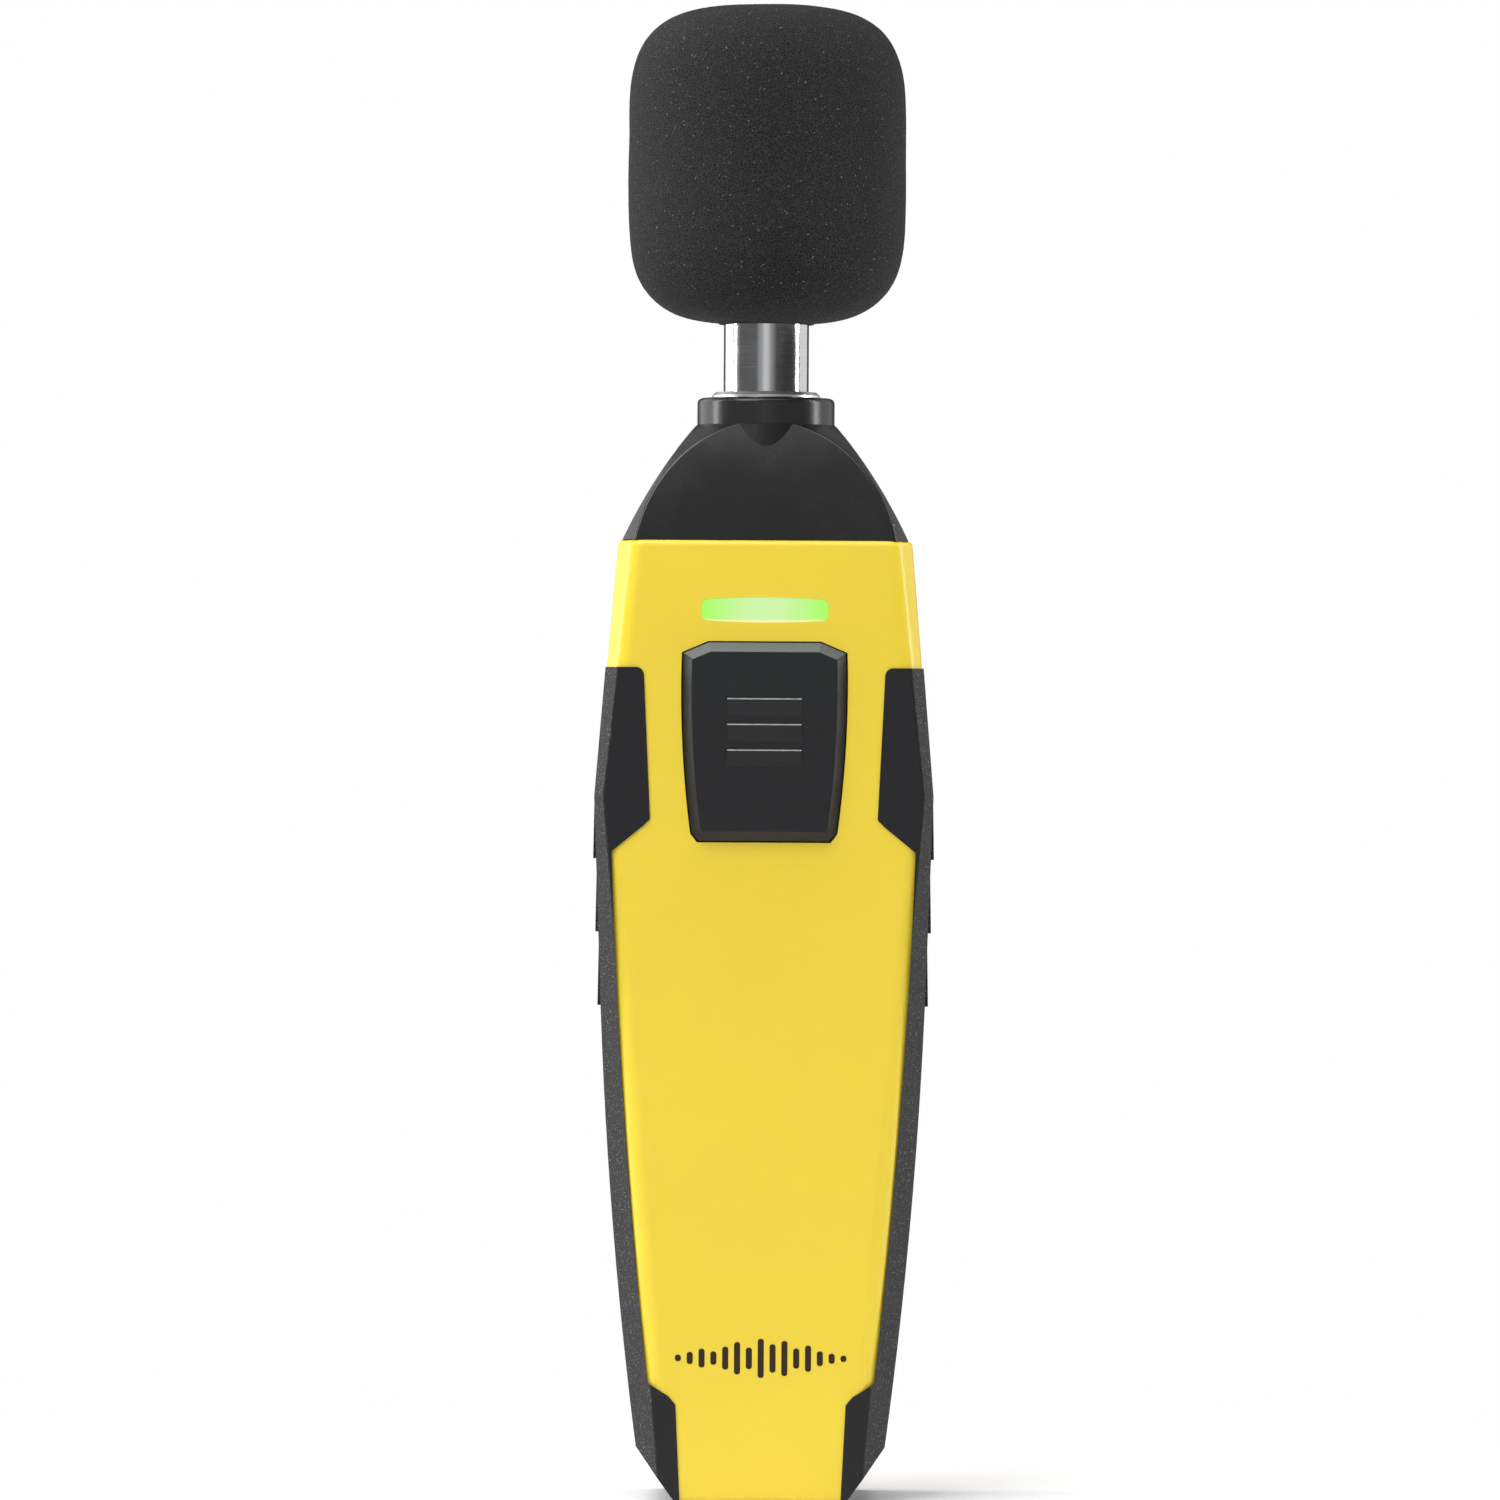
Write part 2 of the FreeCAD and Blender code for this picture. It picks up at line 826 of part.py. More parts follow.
piece("microphone_tube", turned("tube", [
    (s.tube_bore, s.thread_low),
    (s.thread_radius, s.thread_low),
    (s.thread_radius, s.collar_top),
    (s.tube_radius, s.collar_top),
    (s.tube_radius, s.tube_top),
    (s.tube_bore, s.tube_top),
]))

ring_bore = s.tube_radius + s.fit_gap
ring_top = s.collar_top + s.ring_height
piece("tube_flange_ring", turned("flange_ring", [
    (ring_bore, s.collar_top),
    (s.ring_radius, s.collar_top),
    (s.ring_radius, ring_top - s.ring_bevel),
    (s.ring_radius - s.ring_bevel, ring_top),
    (ring_bore, ring_top),
]))

nut = doc.addObject("Part::Prism", "nut_blank")
nut.Polygon = 6
bind(nut, "Circumradius", s.nut_flats / math.sqrt(3))
bind(nut, "Height", s.nose_floor - s.nut_low)
place_at(nut, (0, 0, s.nut_low))
piece("tube_lock_nut", cut(
    "nut_cut", nut, rod("nut_bore", s.thread_radius + s.fit_gap, (0, 0, s.nut_low - 1), 6)))

piece("microphone_capsule", rod(
    "capsule", s.capsule_radius, (0, 0, s.capsule_low), s.capsule_top - s.capsule_low))
piece("capsule_sleeve", turned("sleeve", [
    (s.capsule_radius + s.fit_gap, s.sleeve_low),
    (s.tube_bore - s.fit_gap, s.sleeve_low),
    (s.tube_bore - s.fit_gap, s.capsule_top),
    (s.capsule_radius + s.fit_gap, s.capsule_top),
]))

grid_disc = turned("grid_disc", [
    (0, s.tube_top),
    (s.tube_bore - s.fit_gap - s.grid_rim, s.tube_top),
    (s.tube_bore - s.fit_gap - s.grid_rim, s.tube_top - s.grid_spigot),
    (s.tube_bore - s.fit_gap, s.tube_top - s.grid_spigot),
    (s.tube_bore - s.fit_gap, s.tube_top),
    (s.tube_radius, s.tube_top),
    (s.tube_radius, s.tube_top + s.grid_height - s.grid_bevel),
    (s.tube_radius - s.grid_bevel, s.tube_top + s.grid_height),
    (0, s.tube_top + s.grid_height),
])
grid_holes = [rod("grid_hole_middle", s.grid_hole, (0, 0, s.tube_top - 1), 3)]
for ring, count in ((s.grid_ring_one, 6), (s.grid_ring_two, 12)):
    for number in range(count):
        angle = 2 * math.pi * number / count
        place = (ring * math.cos(angle), ring * math.sin(angle), s.tube_top - 1)
        grid_holes.append(rod("grid_hole_%d_%d" % (count, number), s.grid_hole, place, 3))
piece("protection_grid", cut("grid_cut", grid_disc, *grid_holes))

piece("foam_windscreen", turned("windscreen", [
    (0, s.foam_bore_top),
    (s.foam_bore, s.foam_bore_top),
    (s.foam_bore, s.foam_low),
    (s.foam_flat_low, s.foam_low),
    (s.foam_bend_half, s.foam_bend_low),
    (s.foam_bend_half, s.foam_bend_high),
    (s.foam_flat_top, s.foam_top),
    (0, s.foam_top),
], {3: s.foam_bend_radius, 4: s.foam_side_radius, 5: s.foam_bend_radius}))

# ---------------------------------------------------------------- power button and its switch


def button_outline(grow):
    """The outline of the button, a tall shield, a distance larger all round."""
    return symmetric([
        (s.button_base_half + grow, s.button_low - grow),
        (s.button_foot_half + grow, s.button_foot_height - grow * 0.5),
        (s.button_wide_half + grow, s.button_wide_height + grow * 0.66),
        (s.button_top_half + grow * 0.2, s.button_top + grow),
    ], {1: s.button_side_radius})


def button_plate(name, grow, low, high):
    """A plate of the button's outline, a distance larger, between two depths."""
    corners, arcs = button_outline(grow)
    return plate(name, corners, low, high, arcs)


flange_back = -s.half_depth + s.wall + 1.2
flange_front = -s.half_depth + s.wall + 0.2
cap = button_plate("button_cap", 0, s.button_face, flange_back)
BUTTON_FACE = s.button_face.value
round_edges(cap, "Chamfer", "button_bevel", s.button_bevel,
            lambda box: box.YMax < BUTTON_FACE + EDGE)
bevel_back = BUTTON_FACE + s.button_bevel.value
round_edges(cap, "Fillet", "button_fillet", s.button_round,
            lambda box: box.YMax < bevel_back + EDGE)
button_flange = button_plate("button_flange", s.button_flange, flange_front, flange_back)
button_room = button_plate(
    "button_room", -s.button_wall, s.button_face + s.button_wall, flange_back + 1)
post = rod("button_post", s.button_post, (0, s.button_face + 1, s.button_height),
           s.post_end - s.button_face - 1, "y")
ribs = []
for number in range(int(s.rib_count.value)):
    top = s.rib_top - s.rib_pitch * number
    rib = column("button_rib_%d" % number, [
        (top - s.rib_slope, s.button_face + s.rib_root),
        (top - s.rib_slope, s.button_face),
        (top - s.rib_ledge, s.button_face - s.rib_rise),
        (top, s.button_face + s.rib_root),
    ], -s.rib_half, s.rib_half)
    rib.Placement = FreeCAD.Placement(
        FreeCAD.Vector(), FreeCAD.Rotation(FreeCAD.Vector(0, 1, 0), -90))
    ribs.append(rib)
button_shell = cut("button_shell", fuse("button_blank", cap, button_flange), button_room)
piece("power_button", fuse("button_solid", button_shell, post, *ribs))

switch_front = s.board_front - s.switch_depth
switch = block("switch_blank", (-s.switch_half, s.switch_half), (switch_front, s.board_front),
               (s.button_height - s.switch_half, s.button_height + s.switch_half))
switch_bore = rod("switch_bore_room", s.switch_bore, (0, switch_front - 1, s.button_height),
                  2.2, "y")
piece("switch_housing", cut("switch_cut", switch, switch_bore))
piece("switch_plunger", rod(
    "plunger", s.plunger_radius, (0, s.post_end + s.fit_gap, s.button_height),
    s.plunger_length, "y"))

# ---------------------------------------------------------------- light guide and lights


def guide_plate(name, grow, front, back):
    """A plate of the light guide's outline, a distance larger, between two depths."""
    corner = s.guide_corner
    half = s.guide_half + grow
    low = s.guide_low + s.guide_arch_drop - grow
    top = s.guide_top - s.guide_arch_drop + grow
    corners, arcs = symmetric([
        (half - corner, low),
        (half, low + corner),
        (half, top - corner),
        (half - corner, top),
    ], {0: corner, 2: corner})
    arcs[3] = s.guide_arch_radius
    arcs[7] = s.guide_arch_radius
    return plate(name, corners, front, back, arcs)


piece("status_light_guide", fuse(
    "guide_solid",
    guide_plate("guide_bar", 0, s.guide_face, s.guide_back),
    guide_plate("guide_lip_plate", s.guide_lip, flange_front - s.guide_gap, flange_back)))

guide_height = (s.guide_low + s.guide_top) / 2
piece("status_leds", group("lights", *[
    block("light_%d" % number, (s.light_place * side - s.light_half,
                                s.light_place * side + s.light_half),
          (s.board_front - s.light_depth, s.board_front), (guide_height - 1, guide_height + 1))
    for number, side in enumerate((-1, 0, 1))]))

# ---------------------------------------------------------------- circuit board and its parts

board_outline, _ = symmetric([
    (s.board_half, s.board_low),
    (s.board_half, s.board_wide_top),
    (s.board_narrow_half, s.board_wide_top),
    (s.board_narrow_half, s.board_top),
])
board_screws_at = [(14.0, 74.0), (15.4, 122.0)]
screw_places = [(side * x, z) for x, z in board_screws_at for side in (1, -1)]
board_holes = [rod("board_hole_%d" % number, s.board_screw_radius + s.board_hole_gap,
                   (x, s.board_front - 1, z), 4, "y")
               for number, (x, z) in enumerate(screw_places)]
piece("circuit_board", cut(
    "board_cut", plate("board", board_outline, s.board_front, s.board_back), *board_holes))


def screw(name, shank, head, length, head_height, base, slot_depth):
    """A screw along +Y from the tip of its shank, with a cross recess in its head."""
    body = fuse(name + "_solid",
                rod(name + "_shank", shank, base, length, "y"),
                rod(name + "_head", head, (base[0], size_of(base[1]) + length, base[2]),
                    head_height, "y"))
    top = size_of(base[1]) + length + head_height
    reach = size_of(head) * 0.62
    width = size_of(head) * 0.13
    depth = (top - slot_depth, top + 1)
    x, z = size_of(base[0]), size_of(base[2])
    flat = block(name + "_slot_1", (x - reach, x + reach), depth, (z - width, z + width))
    upright = block(name + "_slot_2", (x - width, x + width), depth, (z - reach, z + reach))
    return cut(name, body, flat, upright)


piece("board_screws", group("board_screw_group", *[
    screw("board_screw_%d" % number, s.board_screw_radius, s.board_screw_head,
          s.board_screw_length, s.board_screw_cap,
          (x, s.board_back - s.board_screw_length, z), s.board_screw_slot)
    for number, (x, z) in enumerate(screw_places)]))

can_back = s.board_front - s.radio_board
can_front = can_back - s.radio_can_depth
sheet_steel = s.radio_can_sheet
piece("radio_module", block(
    "radio_plate", (-s.radio_half, s.radio_half), (can_back, s.board_front),
    (s.radio_low, s.radio_top)))
piece("radio_shield", cut(
    "radio_can",
    block("radio_can_outer", (-s.radio_can_half, s.radio_can_half), (can_front, can_back),
          (s.radio_can_low, s.radio_can_top)),
    block("radio_can_inner", (sheet_steel - s.radio_can_half, s.radio_can_half - sheet_steel),
          (can_front + sheet_steel, s.board_front),
          (s.radio_can_low + sheet_steel, s.radio_can_top - sheet_steel))))
controller_low = s.controller_height - s.controller_half
controller_top = s.controller_height + s.controller_half
piece("microcontroller", cut(
    "controller_cut",
    block("controller", (-s.controller_half, s.controller_half),
          (s.board_back, s.board_back + s.controller_depth), (controller_low, controller_top)),
    rod("controller_dimple", s.controller_mark,
        (-s.controller_mark_place, s.board_back + s.controller_depth - 0.1,
         s.controller_height + s.controller_mark_place), 1, "y")))

amplifier = [block(
    "amplifier", (-s.amplifier_half, s.amplifier_half),
    (s.board_back, s.board_back + s.amplifier_depth),
    (s.amplifier_height - s.amplifier_half_height, s.amplifier_height + s.amplifier_half_height))]
LEGS_IN_ROW = 4
for number in range(2 * LEGS_IN_ROW):
    row, place = divmod(number, LEGS_IN_ROW)
    x = s.leg_pitch * (place - (LEGS_IN_ROW - 1) / 2)
    if row == 0:
        heights = (s.amplifier_height + s.leg_root, s.amplifier_height + s.leg_end)
    else:
        heights = (s.amplifier_height - s.leg_end, s.amplifier_height - s.leg_root)
    amplifier.append(block("amplifier_leg_%d" % number, (x - s.leg_half, x + s.leg_half),
                           (s.board_back, s.board_back + s.leg_depth), heights))
piece("amplifier_chip", fuse("amplifier_solid", *amplifier))

cans = []
foot_back = s.board_back + s.capacitor_foot_depth
for number, side in enumerate((-1, 1)):
    x = s.capacitor_place * side
    foot = block("can_foot_%d" % number, (x - s.capacitor_foot, x + s.capacitor_foot),
                 (s.board_back, foot_back),
                 (s.capacitor_height - s.capacitor_foot, s.capacitor_height + s.capacitor_foot))
    can = rod("can_%d" % number, s.capacitor_radius, (x, foot_back, s.capacitor_height),
              s.capacitor_depth, "y")
    cans.append(fuse("capacitor_%d" % number, foot, can))
piece("board_capacitors", group("capacitors", *cans))

socket = block("socket_blank", (-s.socket_half, s.socket_half), (s.board_back, 0),
               (s.socket_low, s.socket_top))
wire_end = s.socket_top - s.socket_hole_depth
wire_holes = [rod("socket_hole_%d" % number, s.wire_radius + s.fit_gap,
                  (side * s.capsule_wire_place, s.socket_hole_place, wire_end), 3)
              for number, side in enumerate((1, -1))]
piece("lead_socket", cut("socket_cut", socket, *wire_holes))

# ---------------------------------------------------------------- batteries, springs, contacts

cell_top = s.bay_top - s.contact_thickness
cell_low = s.bay_low + s.contact_thickness
spring_length = cell_top - cell_low - s.cell_length
cells = ((-1, True), (0, False), (1, True))
for number, (side, upright) in enumerate(cells, 1):
    x = s.cell_pitch * side
    low = cell_low + spring_length if upright else cell_low
    can_low = low if upright else low + s.nub_height
    nub_low = low + s.cell_length - s.nub_height if upright else low
    can = rod("cell_%d" % number, s.cell_radius, (x, s.cell_depth, can_low),
              s.cell_length - s.nub_height)
    nub = rod("cell_nub_%d" % number, s.nub_radius, (x, s.cell_depth, nub_low), s.nub_height)
    piece("battery_%d" % number, fuse("cell_solid_%d" % number, can, nub))


def coil(name, x, low, length):
    """A compression spring of round wire, upright behind a cell, in short straight runs."""
    wire = s.spring_wire.value
    radius = s.spring_radius.value
    height = size_of(length).value - 2 * wire
    runs_in_turn = 12
    runs = int(runs_in_turn * s.spring_turns.value)
    path = []
    for number in range(runs + 1):
        angle = 2 * math.pi * number / runs_in_turn
        path.append(FreeCAD.Vector(
            radius * math.cos(angle), radius * math.sin(angle), height * number / runs))
    section = Part.Wire(Part.makeCircle(wire, path[0], path[1] - path[0]))
    mitred = 1
    spring = doc.addObject("Part::Feature", name)
    spring.Shape = Part.makePolygon(path).makePipeShell([section], True, False, mitred)
    spring.Placement = FreeCAD.Placement(
        point(x, s.cell_depth, size_of(low) + wire), FreeCAD.Rotation())
    return spring


piece("battery_springs", group(
    "springs",
    coil("spring_1", -s.cell_pitch, cell_low, spring_length),
    coil("spring_2", 0, cell_top - spring_length, spring_length),
    coil("spring_3", s.cell_pitch, cell_low, spring_length)))


def contact(name, left, right, low, tab=None):
    """A flat battery contact, with a solder tab through the bay's floor if it has one."""
    heights = (low, low + s.contact_thickness)
    strip = block(name, (left, right), (s.contact_front, s.contact_back), heights)
    if tab is None:
        return strip
    return fuse(name + "_with_tab", strip,
                block(name + "_tab", (tab - s.tab_half, tab + s.tab_half), (s.tab_end, 3), heights))


piece("battery_contacts", group(
    "contacts",
    contact("contact_low_single", -s.contact_end, -s.contact_single, s.bay_low, -s.cell_pitch),
    contact("contact_low_joined", -s.contact_joined, s.contact_end, s.bay_low),
    contact("contact_top_joined", -s.contact_end, s.contact_joined, cell_top),
    contact("contact_top_single", s.contact_single, s.contact_end, cell_top, s.cell_pitch)))


def wire(route):
    """A round wire along straight runs joined by arcs as large as the runs allow."""
    corners = [point(*place) for place in route]
    edges = []
    start = corners[0]
    for index in range(1, len(corners) - 1):
        before = corners[index] - corners[index - 1]
        after = corners[index + 1] - corners[index]
        turn = before.getAngle(after)
        radius = 0.45 * min(before.Length, after.Length) / math.tan(turn / 2)
        back = radius * math.tan(turn / 2)
        entry = corners[index] - before.normalize() * back
        leave = corners[index] + after.normalize() * back
        to_centre = (after - before).normalize() * (radius / math.cos(turn / 2))
        centre = corners[index] + to_centre
        middle = centre - to_centre.normalize() * radius
        edges += [Part.LineSegment(start, entry).toShape(), Part.Arc(entry, middle, leave).toShape()]
        start = leave
    edges.append(Part.LineSegment(start, corners[-1]).toShape())
    path = Part.Wire(edges)
    direction = corners[1] - corners[0]
    circle = Part.Wire(Part.makeCircle(s.wire_radius.value, corners[0], direction))
    solid = path.makePipeShell([circle], True, False)
    expected = math.pi * s.wire_radius.value ** 2 * path.Length
    if abs(solid.Volume - expected) > 0.02 * expected:
        raise ValueError("a wire's volume doesn't match its length")
    return solid


def wires(label, *routes):
    """A node that holds one or more wires."""
    feature = doc.addObject("Part::Feature", label + "_shape")
    feature.Shape = Part.makeCompound([wire(route) for route in routes])
    return piece(label, feature)


wires("capsule_leads", *[
    [(side * s.capsule_wire_place, 0, s.capsule_low),
     (side * s.capsule_wire_place, 0, 146),
     (side * s.capsule_wire_place, s.socket_hole_place, 141),
     (side * s.capsule_wire_place, s.socket_hole_place, wire_end)]
    for side in (1, -1)])
half_contact = s.contact_thickness / 2
wires(
    "battery_leads",
    [(-s.cell_pitch, s.tab_end, s.bay_low + half_contact),
     (-s.cell_pitch, s.tab_end - 3, s.bay_low + half_contact),
     (-s.cell_pitch, (s.board_front + s.board_back) / 2, 60),
     (-s.cell_pitch, (s.board_front + s.board_back) / 2, s.board_low)],
    [(s.cell_pitch, s.tab_end, cell_top + half_contact),
     (s.cell_pitch, s.tab_end - 1.8, cell_top + half_contact),
     (s.cell_pitch, s.tab_end - 1.8, 80),
     (s.cell_pitch, s.board_back, 80)])

# ---------------------------------------------------------------- shells


def lap_slab(name, front, back):
    """A slab across the whole case between two depths."""
    return block(name, (-FAR, FAR), (front, back), (-1, s.case_height + 5))


nose_hole = rounded_frame(
    "nose_hole", s.spigot_half + s.spigot_gap, s.spigot_half_depth + s.spigot_gap,
    s.case_height - s.wall - 1, s.case_height + 5, 2)
hollow = cut("hollow", round_form, cavity_form, nose_hole)
outside_seat = [cut("grip_slot_%d" % number, region, seat_form)
                for number, region in enumerate(regions)]

inner_face = -s.half_depth + s.wall
boss_root = inner_face - s.boss_overlap
front_parts = [common("front_half", hollow, lap_slab("front_slab", -FAR, 0))]
screw_posts = [(9.5, 20.0), (14.8, 131.5)]
shell_screws_at = [(side * x, z) for x, z in screw_posts for side in (1, -1)]
front_tools = []
for number, (x, z) in enumerate(shell_screws_at):
    front_parts.append(rod("front_boss_%d" % number, s.boss_radius, (x, boss_root, z),
                           -boss_root, "y"))
    front_tools.append(rod("front_pilot_%d" % number, s.screw_radius + s.fit_gap,
                           (x, s.screw_end - 1, z), -s.screw_end + 2, "y"))
for number, (x, z) in enumerate(screw_places):
    front_parts.append(rod("board_boss_%d" % number, s.board_boss, (x, boss_root, z),
                           s.board_front - boss_root, "y"))
    front_tools.append(rod("board_pilot_%d" % number, s.board_screw_radius + s.fit_gap,
                           (x, s.board_back - s.board_screw_length - 0.5, z), 6, "y"))
front_tools += [
    button_plate("button_hole", s.button_gap, -FAR, inner_face + 0.5),
    guide_plate("guide_hole", s.guide_gap, -FAR, inner_face + 0.5),
]
# The rebate is a ring in the wall's inner edge; it leaves the screw posts inside it whole
lap_rebate = common("lap_rebate", lap_seat_form,
                    lap_slab("lap_rebate_slab", -s.lap_height - s.lap_gap, 1))
piece("front_shell", cut("front_cut", fuse("front_blank", *front_parts), *front_tools,
                         cut("lap_ring", lap_rebate, cavity_form), *outside_seat))

lap_lip = cut("lap_lip", common("lap_lip_blank", lap_outer_form,
                                lap_slab("lap_lip_slab", -s.lap_height, 0.5)),
              cavity_form, nose_hole)
bay = block("bay_outside", (-s.bay_half - s.bay_wall, s.bay_half + s.bay_wall),
            (s.bay_floor - s.bay_wall, -inner_face + 0.4),
            (s.bay_low - s.bay_wall, s.bay_top + s.bay_wall))
rear_parts = [common("rear_half", hollow, lap_slab("rear_slab", 0, FAR)), lap_lip, bay]
for number, (x, z) in enumerate(shell_screws_at):
    rear_parts.append(rod("rear_boss_%d" % number, s.boss_radius, (x, 0, z), -boss_root, "y"))
rear_parts.append(rod("cover_post", s.cover_boss, (0, s.cover_boss_front, s.cover_screw_height),
                      -boss_root - s.cover_boss_front, "y"))


def cover_outline(grow):
    """The outline of the battery cover, a distance larger all round."""
    return symmetric([
        (s.cover_low_half + grow * 0.5, s.cover_low - grow),
        (s.cover_half + grow, s.cover_bend - grow),
        (s.cover_half + grow, s.cover_top + grow),
    ])[0]


plate_back = s.half_depth - s.cover_thickness
tab_room = s.tab_half + s.tab_gap
rear_tools = [
    block("bay_inside", (-s.bay_half, s.bay_half), (s.bay_floor, -inner_face),
          (s.bay_low, s.bay_top)),
    block("bay_mouth", (s.bay_rim - s.bay_half, s.bay_half - s.bay_rim), (-inner_face - 1, FAR),
          (s.bay_low, s.bay_top)),
    plate("cover_recess", cover_outline(s.cover_gap), plate_back, FAR),
    rod("cover_foot_hole", s.cover_foot_room, (0, s.fit_gap - inner_face, s.cover_screw_height),
        FAR, "y"),
    rod("cover_screw_hole", s.cover_screw_bore, (0, 5, s.cover_screw_height), FAR, "y"),
    block("tab_slot_low", (-s.cell_pitch - tab_room, tab_room - s.cell_pitch),
          (-1, s.bay_floor + 1), (s.bay_low, s.bay_low + s.contact_thickness + 0.2)),
    block("tab_slot_top", (s.cell_pitch - tab_room, s.cell_pitch + tab_room),
          (-1, s.bay_floor + 1), (cell_top - 0.2, s.bay_top)),
]
tongue_room = s.tongue_half + s.tongue_gap
for number, side in enumerate((1, -1)):
    middle = s.tongue_place * side
    rear_tools.append(block(
        "tongue_slot_%d" % number, (middle - tongue_room, middle + tongue_room),
        (s.tongue_slot_front, plate_back + 1), (87.9, s.cover_top + s.cover_gap)))
for number, (x, z) in enumerate(shell_screws_at):
    rear_tools.append(rod("screw_hole_%d" % number, s.screw_radius + s.screw_gap, (x, -2, z),
                          FAR, "y"))
    rear_tools.append(rod("screw_well_%d" % number, s.screw_well, (x, s.screw_seat, z), FAR, "y"))
piece("rear_shell", cut("rear_cut", fuse("rear_blank", *rear_parts), *rear_tools, *outside_seat))

piece("shell_screws", group("shell_screw_group", *[
    screw("shell_screw_%d" % number, s.screw_radius, s.screw_head,
          s.screw_seat - s.screw_end, s.screw_cap, (x, s.screw_end, z), s.screw_slot)
    for number, (x, z) in enumerate(shell_screws_at)]))

# ---------------------------------------------------------------- battery cover

head_seat = plate_back + s.cover_screw_sink
cover_parts = [
    common("cover_plate", round_form, plate("cover_blank", cover_outline(0), plate_back, FAR)),
    rod("cover_foot_rod", s.cover_foot, (0, -inner_face + 0.2, s.cover_screw_height),
        plate_back + inner_face, "y"),
]
for number, side in enumerate((1, -1)):
    middle = s.tongue_place * side
    across = (middle - s.tongue_half, middle + s.tongue_half)
    cover_parts.append(block("web_%d" % number, across, (s.tongue_front, plate_back + 0.5),
                             (s.tongue_low, s.cover_top - 0.2)))
    cover_parts.append(block("tongue_%d" % number, across, (s.tongue_front, s.tongue_back),
                             (s.tongue_low, s.tongue_top)))
piece("battery_cover", cut(
    "cover_cut", fuse("cover_solid", *cover_parts),
    rod("cover_head_room", s.cover_screw_head + 0.15, (0, head_seat, s.cover_screw_height),
        FAR, "y"),
    rod("cover_shank_room", s.cover_screw_radius + s.fit_gap, (0, 10, s.cover_screw_height),
        FAR, "y")))
piece("cover_screw", screw(
    "cover_screw_solid", s.cover_screw_radius, s.cover_screw_head, head_seat - s.cover_screw_end,
    s.cover_screw_cap, (0, s.cover_screw_end, s.cover_screw_height), s.board_screw_slot))
piece("cover_cushion", block(
    "cushion", (-s.cushion_half, s.cushion_half), (s.cushion_front, plate_back),
    (s.cushion_low, s.cushion_top)))
label = piece("rating_label", rounded_frame(
    "label", s.label_half, s.label_half_height, s.half_depth, s.half_depth + s.label_thickness,
    s.label_corner))
label.Placement = FreeCAD.Placement(
    FreeCAD.Vector(0, 0, s.label_height.value), FreeCAD.Rotation(FreeCAD.Vector(1, 0, 0), -90))

# ---------------------------------------------------------------- checks and export

doc.recompute()
faults = ["%s is %s" % (item.Name, item.State) for item in doc.Objects
          if "Invalid" in item.State or "Error" in item.State]
for node in nodes:
    shape = node.Shape
    if shape.isNull() or not shape.isValid() or not shape.Solids:
        faults.append("%s has no valid solid" % node.Label)
if faults:
    raise ValueError("; ".join(faults))
os.makedirs("parts", exist_ok=True)
for node in nodes:
    node.Shape.exportStep("parts/%s.step" % node.Label)
    box = node.Shape.BoundBox
    print("%-20s volume %9.1f  x %6.1f %6.1f  y %6.1f %6.1f  z %6.1f %6.1f" % (
        node.Label, node.Shape.Volume, box.XMin, box.XMax, box.YMin, box.YMax,
        box.ZMin, box.ZMax))
print(len(nodes), "nodes")
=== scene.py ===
"""The looks of a hand-held wireless sound level meter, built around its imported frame."""

import logging
import math
from dataclasses import dataclass
from enum import Enum
from typing import Sequence

import bmesh
import bpy
from mathutils import Matrix, Vector, noise


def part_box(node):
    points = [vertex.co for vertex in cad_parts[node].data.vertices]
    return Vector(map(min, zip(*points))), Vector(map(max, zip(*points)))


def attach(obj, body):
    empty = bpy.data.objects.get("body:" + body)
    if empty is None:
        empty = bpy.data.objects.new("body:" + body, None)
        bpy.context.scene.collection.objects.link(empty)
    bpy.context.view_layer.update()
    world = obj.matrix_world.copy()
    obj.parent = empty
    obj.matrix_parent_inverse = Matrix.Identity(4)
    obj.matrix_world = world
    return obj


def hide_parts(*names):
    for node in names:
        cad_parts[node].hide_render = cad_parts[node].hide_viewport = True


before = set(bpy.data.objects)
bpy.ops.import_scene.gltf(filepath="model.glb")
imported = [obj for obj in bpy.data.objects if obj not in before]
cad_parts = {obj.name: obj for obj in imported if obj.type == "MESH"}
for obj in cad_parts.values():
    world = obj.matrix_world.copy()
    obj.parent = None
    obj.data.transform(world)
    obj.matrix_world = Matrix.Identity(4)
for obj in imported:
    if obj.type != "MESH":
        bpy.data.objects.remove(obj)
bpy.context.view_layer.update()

log = logging.getLogger("sound_level_meter")

MM = 0.001
Colour = tuple[float, float, float]


class Body(Enum):
    """The rigid bodies that pieces ride on."""

    HOUSING = "housing"
    BUTTON = "button"
    PLUNGER = "plunger"
    WINDSCREEN = "windscreen"
    COVER = "cover"
    SCREW = "screw"


# ------------------------------------------------------------------ shader building


